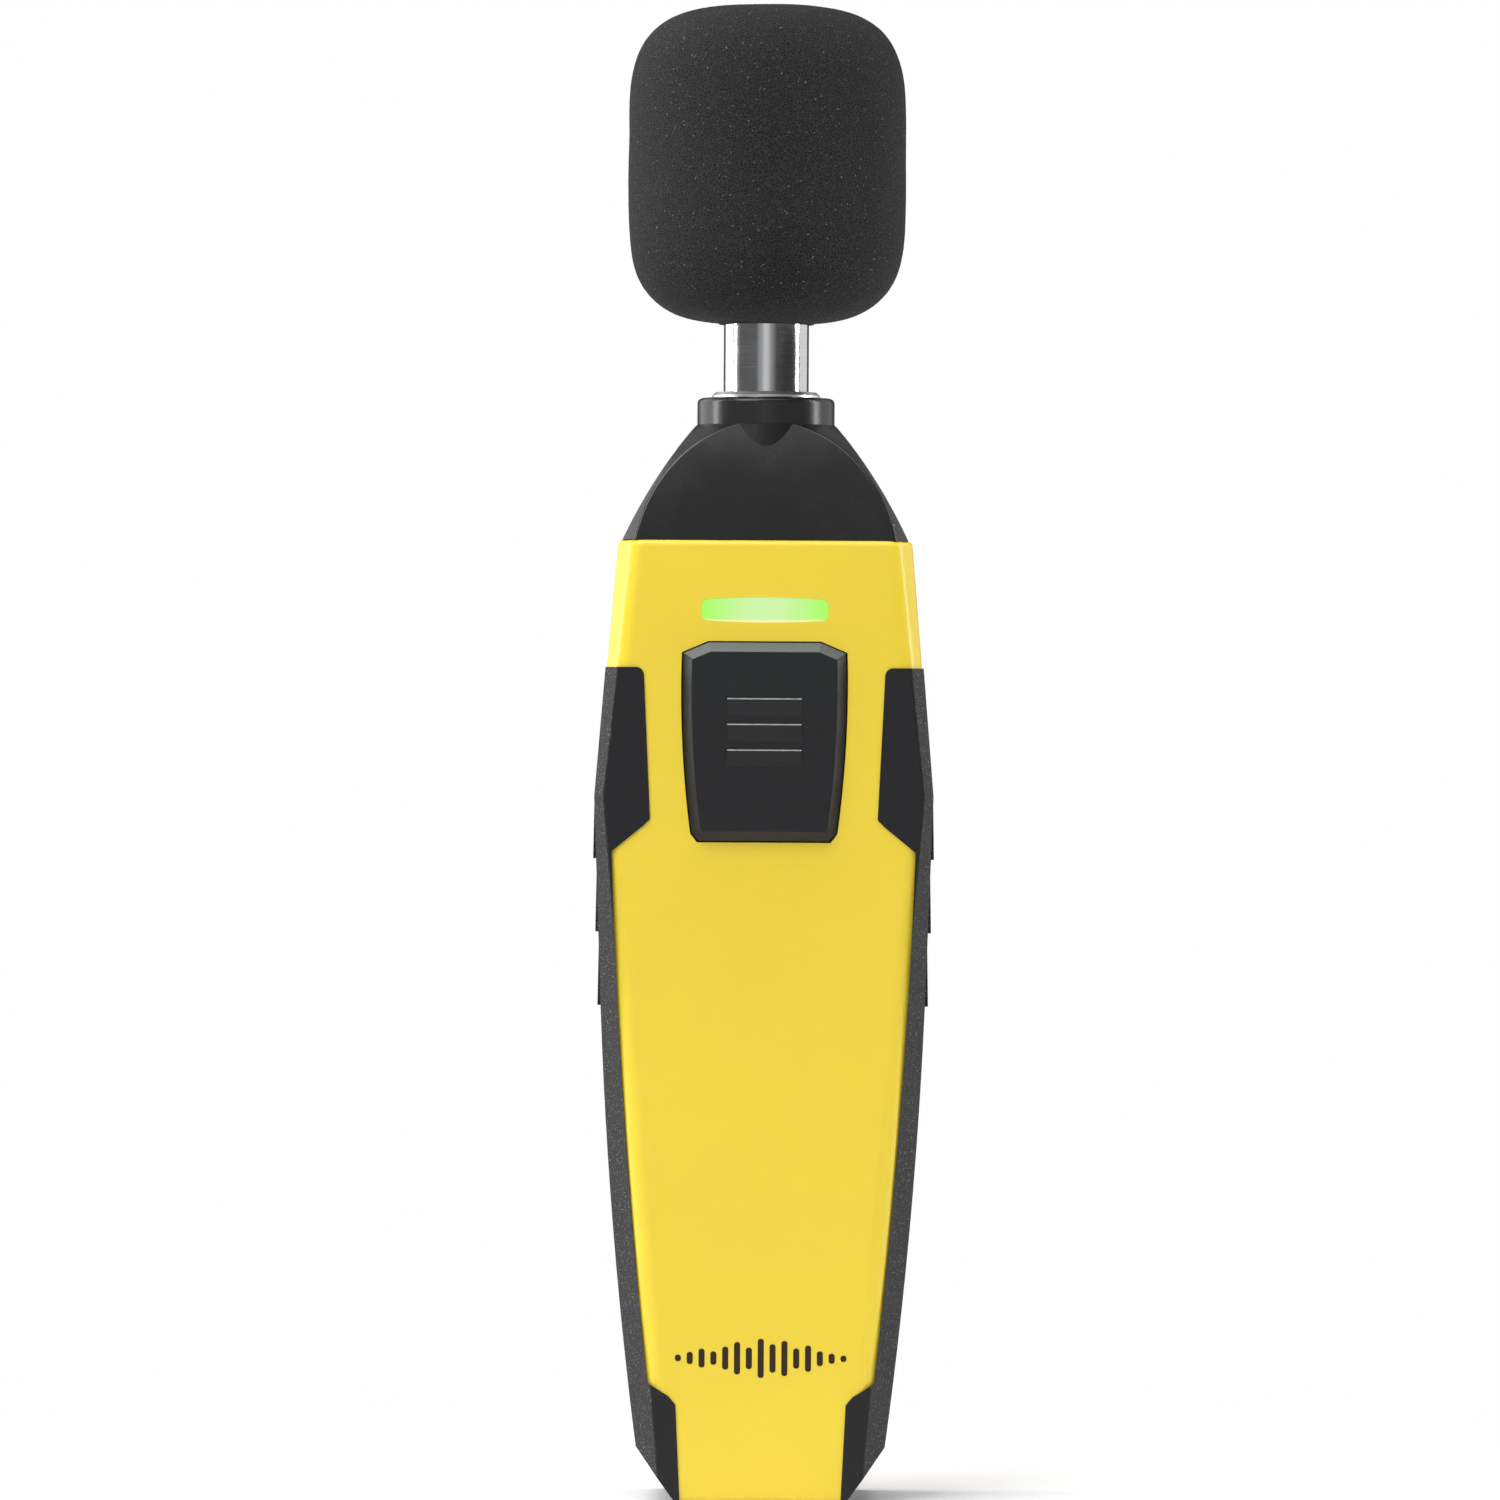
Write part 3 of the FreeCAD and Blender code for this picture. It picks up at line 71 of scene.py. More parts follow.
class Shader:
    """A material under construction, with short calls for the nodes that finishes share."""

    def __init__(self, name: str) -> None:
        """Start a material with one Principled shader.

        Args:
            name: The material's name.
        """
        self.material = bpy.data.materials.new(name)
        self.material.use_nodes = True
        self.nodes = self.material.node_tree.nodes
        self.links = self.material.node_tree.links
        self.surface = self.nodes["Principled BSDF"]
        self._place = None
        self._facing = None

    def put(self, socket: bpy.types.NodeSocket, value: object) -> None:
        """Link a socket to another one, or give it a value.

        Args:
            socket: The input to set.
            value: An output socket, a number or a colour.
        """
        if isinstance(value, bpy.types.NodeSocket):
            self.links.new(value, socket)
        elif isinstance(value, tuple) and len(value) == 3 and socket.type == "RGBA":
            socket.default_value = (*value, 1.0)
        else:
            socket.default_value = value

    def node(self, kind: str, **inputs: object) -> bpy.types.Node:
        """Add a node and set its inputs by name.

        Args:
            kind: The node's type.
            inputs: Values or output sockets, by input name with _ for spaces.

        Returns:
            The new node.
        """
        made = self.nodes.new(kind)
        for name, value in inputs.items():
            self.put(made.inputs[name.replace("_", " ")], value)
        return made

    @property
    def place(self) -> bpy.types.NodeSocket:
        """The point on the object.

        Returns:
            Its place, in metres.
        """
        if self._place is None:
            self._place = self.nodes.new("ShaderNodeTexCoord").outputs["Object"]
        return self._place

    @property
    def facing(self) -> bpy.types.NodeSocket:
        """The way the surface faces, in the object's own axes.

        Returns:
            The direction.
        """
        if self._facing is None:
            self._facing = self.nodes.new("ShaderNodeTexCoord").outputs["Normal"]
        return self._facing

    def scaled(self, scale: Sequence[float]) -> bpy.types.NodeSocket:
        """The point on the object, stretched along each axis.

        Args:
            scale: The three factors.

        Returns:
            The stretched point.
        """
        return self.node("ShaderNodeMapping", Vector=self.place, Scale=tuple(scale)).outputs[0]

    def axes(self) -> list[bpy.types.NodeSocket]:
        """The point's X, Y and Z, each as a number."""
        return list(self.node("ShaderNodeSeparateXYZ", Vector=self.place).outputs)

    def math(self, operation: str, *values: object) -> bpy.types.NodeSocket:
        """Work out one number from others.

        Args:
            operation: The name of the sum, such as MULTIPLY.
            values: Numbers or output sockets.

        Returns:
            The result.
        """
        made = self.nodes.new("ShaderNodeMath")
        made.operation = operation
        for socket, value in zip(made.inputs, values):
            self.put(socket, value)
        return made.outputs[0]

    def noise(self, size_mm: float, detail: float = 3.0, rough: float = 0.55,
              at: bpy.types.NodeSocket | None = None) -> bpy.types.NodeSocket:
        """Cloudy noise from 0 to 1.

        Args:
            size_mm: The width of its largest blobs.
            detail: How many finer layers it has.
            rough: How strong the finer layers are.
            at: Where it is read; the point on the object if left out.

        Returns:
            The noise.
        """
        return self.node("ShaderNodeTexNoise", Vector=at or self.place, Scale=1 / (size_mm * MM),
                         Detail=detail, Roughness=rough).outputs["Fac"]

    def cells(self, size_mm: float, feature: str = "F1",
              output: str = "Distance") -> bpy.types.NodeSocket:
        """A pattern of irregular cells.

        Args:
            size_mm: The width of a cell.
            feature: What is measured in each cell.
            output: The output that is read.

        Returns:
            The pattern.
        """
        made = self.node("ShaderNodeTexVoronoi", Vector=self.place, Scale=1 / (size_mm * MM))
        made.feature = feature
        return made.outputs[output]

    def ramp(self, value: bpy.types.NodeSocket,
             stops: Sequence[tuple[float, Colour]]) -> bpy.types.NodeSocket:
        """Turn a number into a colour.

        Args:
            value: The number, from 0 to 1.
            stops: Places and their colours, from low to high.

        Returns:
            The colour.
        """
        made = self.node("ShaderNodeValToRGB", Fac=value)
        elements = made.color_ramp.elements
        while len(elements) < len(stops):
            elements.new(1.0)
        for element, (position, colour) in zip(elements, stops):
            element.position = position
            element.color = (*colour, 1.0)
        return made.outputs["Color"]

    def between(self, value: bpy.types.NodeSocket, low: float, high: float, at_low: float = 0.0,
                at_high: float = 1.0) -> bpy.types.NodeSocket:
        """Turn a range of numbers smoothly into another.

        Args:
            value: The number.
            low: Where the change starts.
            high: Where it ends.
            at_low: The result below it.
            at_high: The result above it.

        Returns:
            The new number.
        """
        made = self.nodes.new("ShaderNodeMapRange")
        made.interpolation_type = "SMOOTHSTEP"
        for name, number in zip(("Value", "From Min", "From Max", "To Min", "To Max"),
                                (value, low, high, at_low, at_high)):
            self.put(made.inputs[name], number)
        return made.outputs[0]

    def mix(self, share: object, first: object, second: object) -> bpy.types.NodeSocket:
        """Blend two colours.

        Args:
            share: How much of the second, from 0 to 1.
            first: The first colour.
            second: The second colour.

        Returns:
            The blend.
        """
        made = self.nodes.new("ShaderNodeMix")
        made.data_type = "RGBA"
        for socket, value in zip((made.inputs[0], made.inputs[6], made.inputs[7]),
                                 (share, first, second)):
            self.put(socket, value)
        return made.outputs[2]

    def bump(self, height: bpy.types.NodeSocket, depth_mm: float,
             under: bpy.types.NodeSocket | None = None) -> bpy.types.NodeSocket:
        """A raised pattern, as a normal.

        Args:
            height: The pattern, from 0 to 1.
            depth_mm: How high it stands.
            under: A normal that it is laid over.

        Returns:
            The normal.
        """
        made = self.node("ShaderNodeBump", Height=height, Distance=depth_mm * MM, Strength=1.0)
        if under is not None:
            self.put(made.inputs["Normal"], under)
        return made.outputs[0]

    def finish(self, **inputs: object) -> bpy.types.Material:
        """Set the shader's own inputs.

        Args:
            inputs: Values or output sockets, by input name with _ for spaces.

        Returns:
            The finished material.
        """
        for name, value in inputs.items():
            self.put(self.surface.inputs[name.replace("_", " ")], value)
        return self.material


# ------------------------------------------------------------------ finishes


@dataclass(frozen=True)
class MouldedPlastic:
    """Injection-moulded plastic: an even colour, a fine spark-eroded grain and a faint shade."""

    name: str
    colour: Colour
    roughness: float = 0.4
    coat: float = 0.0
    grain_mm: float = 0.35
    grain_depth_mm: float = 0.006
    variation: float = 0.05
    specular: float = 0.5

    def make(self) -> bpy.types.Material:
        """Build the material.

        Returns:
            The finished material.
        """
        shader = Shader(self.name)
        clouds = shader.noise(28.0, 2.0)
        darker = tuple(c * (1 - self.variation) for c in self.colour)
        colour = shader.ramp(clouds, [(0.3, darker), (0.7, self.colour)])
        grain = shader.noise(self.grain_mm, 2.0)
        rough = shader.between(shader.noise(9.0, 4.0), 0.3, 0.7,
                               self.roughness * 0.9, self.roughness * 1.1)
        return shader.finish(
            Base_Color=colour, Roughness=rough, Specular_IOR_Level=self.specular,
            Coat_Weight=self.coat, Coat_Roughness=0.12,
            Normal=shader.bump(grain, self.grain_depth_mm))


@dataclass(frozen=True)
class CaseYellow:
    """The case's satin yellow, with a thin line of painted shade along the parting of its two shells."""

    name: str = "case_yellow"
    colour: Colour = (0.83, 0.625, 0.038)
    shade: Colour = (0.80, 0.60, 0.036)
    roughness: float = 0.32
    seam_shade_mm: float = 0.09

    def make(self) -> bpy.types.Material:
        """Build the material.

        Returns:
            The finished material.
        """
        shader = Shader(self.name)
        colour = shader.ramp(shader.noise(30.0, 2.0), [(0.3, self.shade), (0.7, self.colour)])
        _, depth, _ = shader.axes()
        # Painted shade: a thin dark line along the parting of the shells (y = 0) stands in for the
        # shadow in the seam.
        beside = shader.between(shader.math("ABSOLUTE", depth), 0.0, self.seam_shade_mm * MM, 0.55, 0.0)
        colour = shader.mix(beside, colour, (0.12, 0.08, 0.01))
        grain = shader.noise(0.3, 2.0)
        flow = shader.noise(12.0, 3.0)
        rough = shader.between(flow, 0.3, 0.7, self.roughness * 0.92, self.roughness * 1.08)
        normal = shader.bump(grain, 0.003)
        return shader.finish(
            Base_Color=colour, Roughness=rough, Specular_IOR_Level=0.5,
            Normal=normal)


@dataclass(frozen=True)
class GripRubber:
    """Soft black rubber, grained on the sides and smooth on its flat front and back."""

    name: str = "grip_rubber_grain"
    smooth_colour: Colour = (0.008, 0.007, 0.009)
    grain_colour: Colour = (0.013, 0.0115, 0.0125)
    speck_colour: Colour = (0.15, 0.145, 0.145)
    flat_mm: float = 15.75
    grain_mm: float = 0.42

    def make(self) -> bpy.types.Material:
        """Build the material.

        Returns:
            The finished material.
        """
        shader = Shader(self.name)
        _, depth, _ = shader.axes()
        side = shader.between(shader.math("ABSOLUTE", depth), (self.flat_mm - 0.22) * MM,
                              (self.flat_mm - 0.04) * MM, 1.0, 0.0)
        cells = shader.cells(self.grain_mm, "SMOOTH_F1")
        fine = shader.noise(0.18, 2.0)
        grain = shader.math("ADD", cells, shader.math("MULTIPLY", fine, 0.5))
        specks = shader.between(shader.noise(0.22, 0.0), 0.69, 0.77)
        patches = shader.noise(6.0, 3.0)
        grained = shader.ramp(patches, [
            (0.3, tuple(c * 0.85 for c in self.grain_colour)), (0.7, self.grain_colour)])
        grained = shader.mix(specks, grained, self.speck_colour)
        colour = shader.mix(side, self.smooth_colour, grained)
        height = shader.math("MULTIPLY", grain, side)
        rough = shader.between(side, 0.0, 1.0, 0.42, 0.62)
        return shader.finish(Base_Color=colour, Roughness=rough, Specular_IOR_Level=0.32,
                             Normal=shader.bump(height, 0.05))


@dataclass(frozen=True)
class PolishedSteel:
    """Bright turned steel, with fine polishing lines round its axis."""

    name: str
    colour: Colour = (0.74, 0.75, 0.77)
    roughness: float = 0.07
    line_mm: float = 0.12

    def make(self) -> bpy.types.Material:
        """Build the material.

        Returns:
            The finished material.
        """
        shader = Shader(self.name)
        lines = shader.noise(self.line_mm, 2.0, at=shader.scaled((0.02, 0.02, 1.0)))
        smears = shader.noise(7.0, 3.0)
        rough = shader.math("ADD", shader.between(lines, 0.35, 0.75, 0.0, 0.05),
                            shader.between(smears, 0.35, 0.75, self.roughness, self.roughness * 1.7))
        tint = shader.ramp(lines, [(0.3, tuple(c * 0.95 for c in self.colour)), (0.7, self.colour)])
        return shader.finish(Base_Color=tint, Metallic=1.0, Roughness=rough,
                             Normal=shader.bump(lines, 0.0006))


@dataclass(frozen=True)
class WorkedMetal:
    """Plain metal hardware: brushed, plated or blackened, with small stains."""

    name: str
    colour: Colour
    roughness: float = 0.32
    stain: Colour = (0.25, 0.22, 0.18)

    def make(self) -> bpy.types.Material:
        """Build the material.

        Returns:
            The finished material.
        """
        shader = Shader(self.name)
        stains = shader.between(shader.noise(2.2, 5.0), 0.60, 0.78)
        colour = shader.mix(shader.math("MULTIPLY", stains, 0.4), self.colour, self.stain)
        scratches = shader.noise(0.25, 3.0, at=shader.scaled((1.0, 0.08, 1.0)))
        rough = shader.between(scratches, 0.3, 0.8, self.roughness * 0.8, self.roughness * 1.3)
        return shader.finish(Base_Color=colour, Metallic=1.0, Roughness=rough,
                             Normal=shader.bump(scratches, 0.002))


@dataclass(frozen=True)
class OpenCellFoam:
    """Black open-cell foam: painted shade in the cell hollows, painted highlights on the struts and
    painted glints here and there.
    """

    name: str = "open_cell_foam"
    cell_mm: float = 0.45
    hollow_shade: Colour = (0.009, 0.009, 0.009)
    lit_strut: Colour = (0.026, 0.026, 0.027)
    glint: Colour = (0.16, 0.16, 0.165)

    def make(self) -> bpy.types.Material:
        """Build the material.

        Returns:
            The finished material.
        """
        shader = Shader(self.name)
        walls = shader.cells(self.cell_mm, "DISTANCE_TO_EDGE")
        # The cell hollows get a darker colour as painted shade, and the struts between them a lighter
        # one as painted highlights.
        lit_strut = shader.between(walls, 0.02, 0.22, 1.0, 0.0)
        colour = shader.mix(lit_strut, self.hollow_shade, self.lit_strut)
        # Scattered light specks are painted glints, struts standing in for catching the light.
        glint_spots = shader.between(shader.noise(0.30, 0.0), 0.79, 0.83)
        colour = shader.mix(glint_spots, colour, self.glint)
        height = shader.math("ADD", lit_strut, shader.math("MULTIPLY", shader.noise(0.25, 3.0), 0.6))
        return shader.finish(Base_Color=colour, Roughness=0.85, Specular_IOR_Level=0.2,
                             Normal=shader.bump(height, 0.05))


@dataclass(frozen=True)
class ButtonRubber:
    """The power button's fine matt rubber, a little greener at its top edge, with painted highlights on
    its upward faces and along the finger ribs' upper edges.
    """

    name: str = "button_rubber_fine"
    colour: Colour = (0.0045, 0.0035, 0.0055)
    top_colour: Colour = (0.003, 0.006, 0.0065)
    top_from_mm: float = 110.0
    top_to_mm: float = 126.0
    upward_highlight: Colour = (0.19, 0.22, 0.205)
    rib_highlight: Colour = (0.45, 0.45, 0.46)
    rib_edge_mm: float = 119.08
    rib_pitch_mm: float = 3.8
    rib_half_mm: float = 5.5
    rib_margin_mm: float = 0.5
    rib_highlight_mm: float = 0.054
    rib_highlight_fade_mm: float = 0.117

    def make(self) -> bpy.types.Material:
        """Build the material.

        Returns:
            The finished material.
        """
        shader = Shader(self.name)
        across, _, height = shader.axes()
        share = shader.between(height, self.top_from_mm * MM, self.top_to_mm * MM)
        colour = shader.mix(share, self.colour, self.top_colour)
        # Painted highlight: faces that turn upwards are made lighter, as if lit from above.
        upward = shader.node("ShaderNodeSeparateXYZ", Vector=shader.facing).outputs["Z"]
        upward_lit = shader.between(upward, 0.35, 0.75, 0.0, 0.55)
        colour = shader.mix(upward_lit, colour, self.upward_highlight)
        # Painted highlight: thin pale lines along the ribs' upper edges.
        colour = shader.mix(self.rib_highlights(shader, across, height), colour, self.rib_highlight)
        rough = shader.between(shader.noise(3.0, 4.0), 0.3, 0.7, 0.38, 0.46)
        return shader.finish(Base_Color=colour, Roughness=rough, Specular_IOR_Level=0.4,
                             Normal=shader.bump(shader.noise(0.22, 2.0), 0.006))

    def rib_highlights(self, shader: Shader, across: bpy.types.NodeSocket,
               height: bpy.types.NodeSocket) -> bpy.types.NodeSocket:
        """Where a painted highlight runs along the finger ribs' upper edges.

        Args:
            shader: The material that is being built.
            across: The point's X.
            height: The point's Z.

        Returns:
            1 on the painted highlight lines and 0 elsewhere.
        """
        edge, pitch = self.rib_edge_mm * MM, self.rib_pitch_mm * MM
        below = shader.math("SUBTRACT", edge, height)
        near = shader.math("PINGPONG", below, pitch / 2)
        line = shader.between(near, self.rib_highlight_mm * MM, self.rib_highlight_fade_mm * MM, 1.0, 0.0)
        inside = shader.math("LESS_THAN", shader.math("ABSOLUTE", across), self.rib_half_mm * MM)
        middle = shader.math("ABSOLUTE", shader.math("SUBTRACT", below, pitch))
        ribbed = shader.math("LESS_THAN", middle, pitch + self.rib_margin_mm * MM)
        # Noise breaks up the painted highlight lines along their length.
        highlight_breaks = shader.between(shader.noise(1.2, 3.0), 0.25, 0.6, 0.55, 1.0)
        both = shader.math("MULTIPLY", shader.math("MULTIPLY", line, inside), ribbed)
        return shader.math("MULTIPLY", both, highlight_breaks)


@dataclass(frozen=True)
class LitGuide:
    """A milky light guide lit from behind: bright green ends and a pale middle, with a painted highlight
    along its bottom edge.
    """

    name: str = "lit_light_guide"
    half_mm: float = 9.3
    low_mm: float = 130.6
    # The lip settings and colour give the painted highlight along the guide's bottom edge.
    lip_mm: float = 0.1
    lip_highlight_fade_mm: float = 0.26
    end: Colour = (0.38, 1.0, 0.09)
    middle: Colour = (0.62, 0.92, 0.38)
    lip: Colour = (0.95, 0.90, 0.40)
    strength: float = 0.85

    def make(self) -> bpy.types.Material:
        """Build the material.

        Returns:
            The finished material.
        """
        shader = Shader(self.name)
        across, _, height = shader.axes()
        share = shader.math("DIVIDE", shader.math("ABSOLUTE", across), self.half_mm * MM)
        ragged = shader.math("ADD", share, shader.between(shader.noise(3.0, 2.0), 0, 1, -0.06, 0.06))
        glow = shader.ramp(ragged, [(0.25, self.middle), (0.6, (0.5, 0.95, 0.22)), (0.9, self.end)])
        # Painted highlight: the glow turns pale in a thin line along the bottom edge.
        low = shader.between(height, (self.low_mm + self.lip_mm) * MM,
                             (self.low_mm + self.lip_highlight_fade_mm) * MM, 1.0, 0.0)
        glow = shader.mix(low, glow, self.lip)
        return shader.finish(
            Base_Color=(0.08, 0.12, 0.06), Roughness=0.25, Emission_Color=glow,
            Emission_Strength=self.strength,
            Normal=shader.bump(shader.noise(0.6, 2.0), 0.004))


@dataclass(frozen=True)
class PrintedInk:
    """Dark pad-printed ink, slightly worn."""

    name: str = "printed_ink"
    colour: Colour = (0.022, 0.010, 0.003)

    def make(self) -> bpy.types.Material:
        """Build the material.

        Returns:
            The finished material.
        """
        shader = Shader(self.name)
        worn = shader.between(shader.noise(0.5, 4.0), 0.66, 0.8, 0.0, 0.2)
        colour = shader.mix(worn, self.colour, (0.20, 0.14, 0.03))
        return shader.finish(Base_Color=colour, Roughness=0.5, Specular_IOR_Level=0.3,
                             Normal=shader.bump(shader.noise(0.2, 2.0), 0.002))


@dataclass(frozen=True)
class SolderMask:
    """A green circuit board, with lighter copper tracks under its lacquer."""

    name: str = "solder_mask"
    lacquer: Colour = (0.006, 0.075, 0.028)
    track: Colour = (0.02, 0.16, 0.05)

    def make(self) -> bpy.types.Material:
        """Build the material.

        Returns:
            The finished material.
        """
        shader = Shader(self.name)
        grid = shader.node("ShaderNodeTexBrick", Vector=shader.scaled((1000.0, 1000.0, 1000.0)),
                           Scale=0.6, Mortar_Size=0.06).outputs["Fac"]
        tracks = shader.math("MULTIPLY", grid, shader.between(shader.noise(5.0, 1.0), 0.45, 0.55))
        colour = shader.mix(tracks, self.lacquer, self.track)
        return shader.finish(Base_Color=colour, Roughness=0.3, Coat_Weight=0.4,
                             Normal=shader.bump(tracks, 0.03))


@dataclass(frozen=True)
class CellJacket:
    """The printed film of a battery: a dark can, a copper-coloured end and bare metal tips."""

    name: str
    low_mm: float
    high_mm: float
    upright: bool
    can: Colour = (0.015, 0.017, 0.022)
    band: Colour = (0.62, 0.30, 0.12)
    bare: Colour = (0.62, 0.62, 0.60)
    band_share: float = 0.26
    tip_share: float = 0.022

    def make(self) -> bpy.types.Material:
        """Build the material.

        Returns:
            The finished material.
        """
        shader = Shader(self.name)
        _, _, height = shader.axes()
        share = shader.between(height, self.low_mm * MM, self.high_mm * MM)
        share.node.interpolation_type = "LINEAR"
        if not self.upright:
            share = shader.math("SUBTRACT", 1.0, share)
        band = shader.between(share, 1 - self.band_share - 0.003, 1 - self.band_share + 0.003)
        colour = shader.mix(band, self.can, self.band)
        tips = shader.math("ADD", shader.between(share, 1 - self.tip_share, 1 - self.tip_share + 0.004),
                           shader.between(share, 0.006, 0.010, 1.0, 0.0))
        colour = shader.mix(tips, colour, self.bare)
        metal = shader.between(shader.math("ADD", band, tips), 0.2, 0.8)
        scuffs = shader.between(shader.noise(1.2, 5.0), 0.5, 0.75, 0.18, 0.38)
        return shader.finish(Base_Color=colour, Metallic=metal, Roughness=scuffs,
                             Normal=shader.bump(shader.noise(0.8, 3.0), 0.004))


@dataclass(frozen=True)
class WireJacket:
    """Insulated wires: red on one side of the case's middle and black on the other."""

    name: str = "wire_jackets"
    left: Colour = (0.45, 0.02, 0.015)
    right: Colour = (0.012, 0.012, 0.013)

    def make(self) -> bpy.types.Material:
        """Build the material.

        Returns:
            The finished material.
        """
        shader = Shader(self.name)
        across, _, _ = shader.axes()
        colour = shader.mix(shader.between(across, -0.0001, 0.0001), self.left, self.right)
        smudge = shader.between(shader.noise(1.5, 3.0), 0.4, 0.8, 0.0, 0.2)
        colour = shader.mix(smudge, colour, (0.05, 0.04, 0.035))
        return shader.finish(Base_Color=colour, Roughness=0.42,
                             Normal=shader.bump(shader.noise(0.3, 2.0), 0.004))


@dataclass(frozen=True)
class LabelFilm:
    """A plain silver label with ruled rows and no words."""

    name: str = "label_film_ruled"
    film: Colour = (0.55, 0.55, 0.54)
    rule: Colour = (0.05, 0.05, 0.05)
    low_mm: float = 97.0
    high_mm: float = 122.0
    half_mm: float = 14.0
    rows: int = 5
    margin_mm: float = 1.4
    rule_mm: float = 0.18

    def make(self) -> bpy.types.Material:
        """Build the material.

        Returns:
            The finished material.
        """
        shader = Shader(self.name)
        across, _, height = shader.axes()
        inside = self.high_mm - self.low_mm - 2 * self.margin_mm
        pitch = inside / self.rows * MM
        rise = shader.math("SUBTRACT", height, (self.low_mm + self.margin_mm) * MM)
        beyond = shader.math("PINGPONG", rise, pitch / 2)
        rows = shader.between(beyond, 0.0, self.rule_mm * MM, 1.0, 0.0)
        width = shader.math("ABSOLUTE", across)
        edge = (self.half_mm - self.margin_mm) * MM
        within = shader.math("LESS_THAN", width, edge)
        middle = (self.low_mm + self.high_mm) / 2 * MM
        level = shader.math("ABSOLUTE", shader.math("SUBTRACT", height, middle))
        shut = shader.math("LESS_THAN", level, (inside / 2 + self.rule_mm) * MM)
        ruled = shader.math("MULTIPLY", shader.math("MULTIPLY", rows, within), shut)
        sides = shader.between(shader.math("ABSOLUTE", shader.math("SUBTRACT", width, edge)),
                               0.0, self.rule_mm * MM, 1.0, 0.0)
        ruled = shader.math("MAXIMUM", ruled, shader.math("MULTIPLY", sides, shut))
        colour = shader.mix(shader.math("MULTIPLY", ruled, 0.8), self.film, self.rule)
        return shader.finish(Base_Color=colour, Roughness=0.38, Metallic=0.35,
                             Normal=shader.bump(shader.noise(0.5, 3.0), 0.003))


# ------------------------------------------------------------------ making and placing pieces


def dress(node: str, material: bpy.types.Material) -> None:
    """Give a node of the frame its finished material.

    Args:
        node: The node's name.
        material: The material.
    """
    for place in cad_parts[node].material_slots:
        place.material = material
    log.info("%s wears %s", node, material.name)


def piece_from(mesh: bmesh.types.BMesh, name: str, material: bpy.types.Material, body: Body,
               replaces: Sequence[str] = ()) -> bpy.types.Object:
    """Turn a finished mesh into a piece that rides a body.

    Args:
        mesh: The mesh, which is freed.
        name: The piece's name.
        material: Its material.
        body: The body that it moves with.
        replaces: The nodes that it stands for.

    Returns:
        The piece's object.
    """
    data = bpy.data.meshes.new(name)
    mesh.to_mesh(data)
    mesh.free()
    data.materials.append(material)
    made = bpy.data.objects.new(name, data)
    bpy.context.scene.collection.objects.link(made)
    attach(made, body.value)
    if replaces:
        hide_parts(*replaces)
    log.info("%s: %d faces on %s", name, len(data.polygons), body.value)
    return made


# ------------------------------------------------------------------ sub-assemblies


@dataclass
class CaseShells:
    """The two yellow shells, the black nose and the rubber grips."""

    yellow: CaseYellow = CaseYellow()
    nose: MouldedPlastic = MouldedPlastic(
        "nose_black", (0.014, 0.014, 0.014), roughness=0.26, grain_depth_mm=0.0015, specular=0.42)
    rubber: GripRubber = GripRubber()

    def dress(self) -> None:
        """Give the case's nodes their finishes."""
        yellow = self.yellow.make()
        for node in ("front_shell", "rear_shell", "battery_cover"):
            dress(node, yellow)
        dress("nose_cone", self.nose.make())
        rubber = self.rubber.make()
        for node in ("grip_left", "grip_right"):
            dress(node, rubber)


@dataclass
class LevelMark:
    """A small printed sign low on the front: rising and falling sound level bars."""

    front_mm: float = -15.5
    base_mm: float = 18.6
    pitch_mm: float = 1.75
    bar_mm: float = 0.9
    heights_mm: tuple[float, ...] = (
        1.0, 1.8, 2.8, 2.0, 3.4, 4.8, 3.2, 5.8, 4.2, 5.2, 3.0, 3.9, 2.2, 1.5, 0.95)
    ink_mm: float = 0.03
    centre_mm: float = 0.0

    def build(self) -> bpy.types.Object:
        """Make the bars as one thin print.

        Returns:
            The print.
        """
        mesh = bmesh.new()
        start = self.centre_mm - self.pitch_mm * (len(self.heights_mm) - 1) / 2
        middle = self.base_mm + max(self.heights_mm) / 2
        for number, height in enumerate(self.heights_mm):
            made = bmesh.ops.create_cube(mesh, size=1.0)["verts"]
            place = Matrix.Translation((start + number * self.pitch_mm,
                                        self.front_mm - self.ink_mm / 2, middle))
            size = Matrix.Diagonal((self.bar_mm, self.ink_mm, height, 1.0))
            bmesh.ops.transform(mesh, matrix=place @ size, verts=made)
        upright = [edge for edge in mesh.edges
                   if abs(edge.verts[0].co.y - edge.verts[1].co.y) > self.ink_mm / 2]
        bmesh.ops.bevel(mesh, geom=upright, offset=self.bar_mm * 0.45, segments=5,
                        affect="EDGES", profile=0.5, material=-1)
        bmesh.ops.scale(mesh, vec=(MM, MM, MM), verts=mesh.verts)
        return piece_from(mesh, "printed_level_mark", PrintedInk().make(), Body.HOUSING)


@dataclass
class Microphone:
    """The half-inch microphone: tube, ring, nut, capsule, sleeve and grid."""

    steel: PolishedSteel = PolishedSteel("polished_tube_steel")
    ring: PolishedSteel = PolishedSteel("turned_ring_steel", (0.82, 0.82, 0.84), roughness=0.3)

    def dress(self) -> None:
        """Give the microphone's nodes their finishes."""
        dress("microphone_tube", self.steel.make())
        ring = self.ring.make()
        dress("tube_flange_ring", ring)
        dress("protection_grid", ring)
        dress("tube_lock_nut", WorkedMetal("plated_nut", (0.70, 0.66, 0.52)).make())
        dress("microphone_capsule", WorkedMetal("capsule_can", (0.60, 0.61, 0.62), 0.25).make())
        dress("capsule_sleeve", MouldedPlastic("sleeve_rubber_black", (0.012, 0.012, 0.012), 0.6).make())


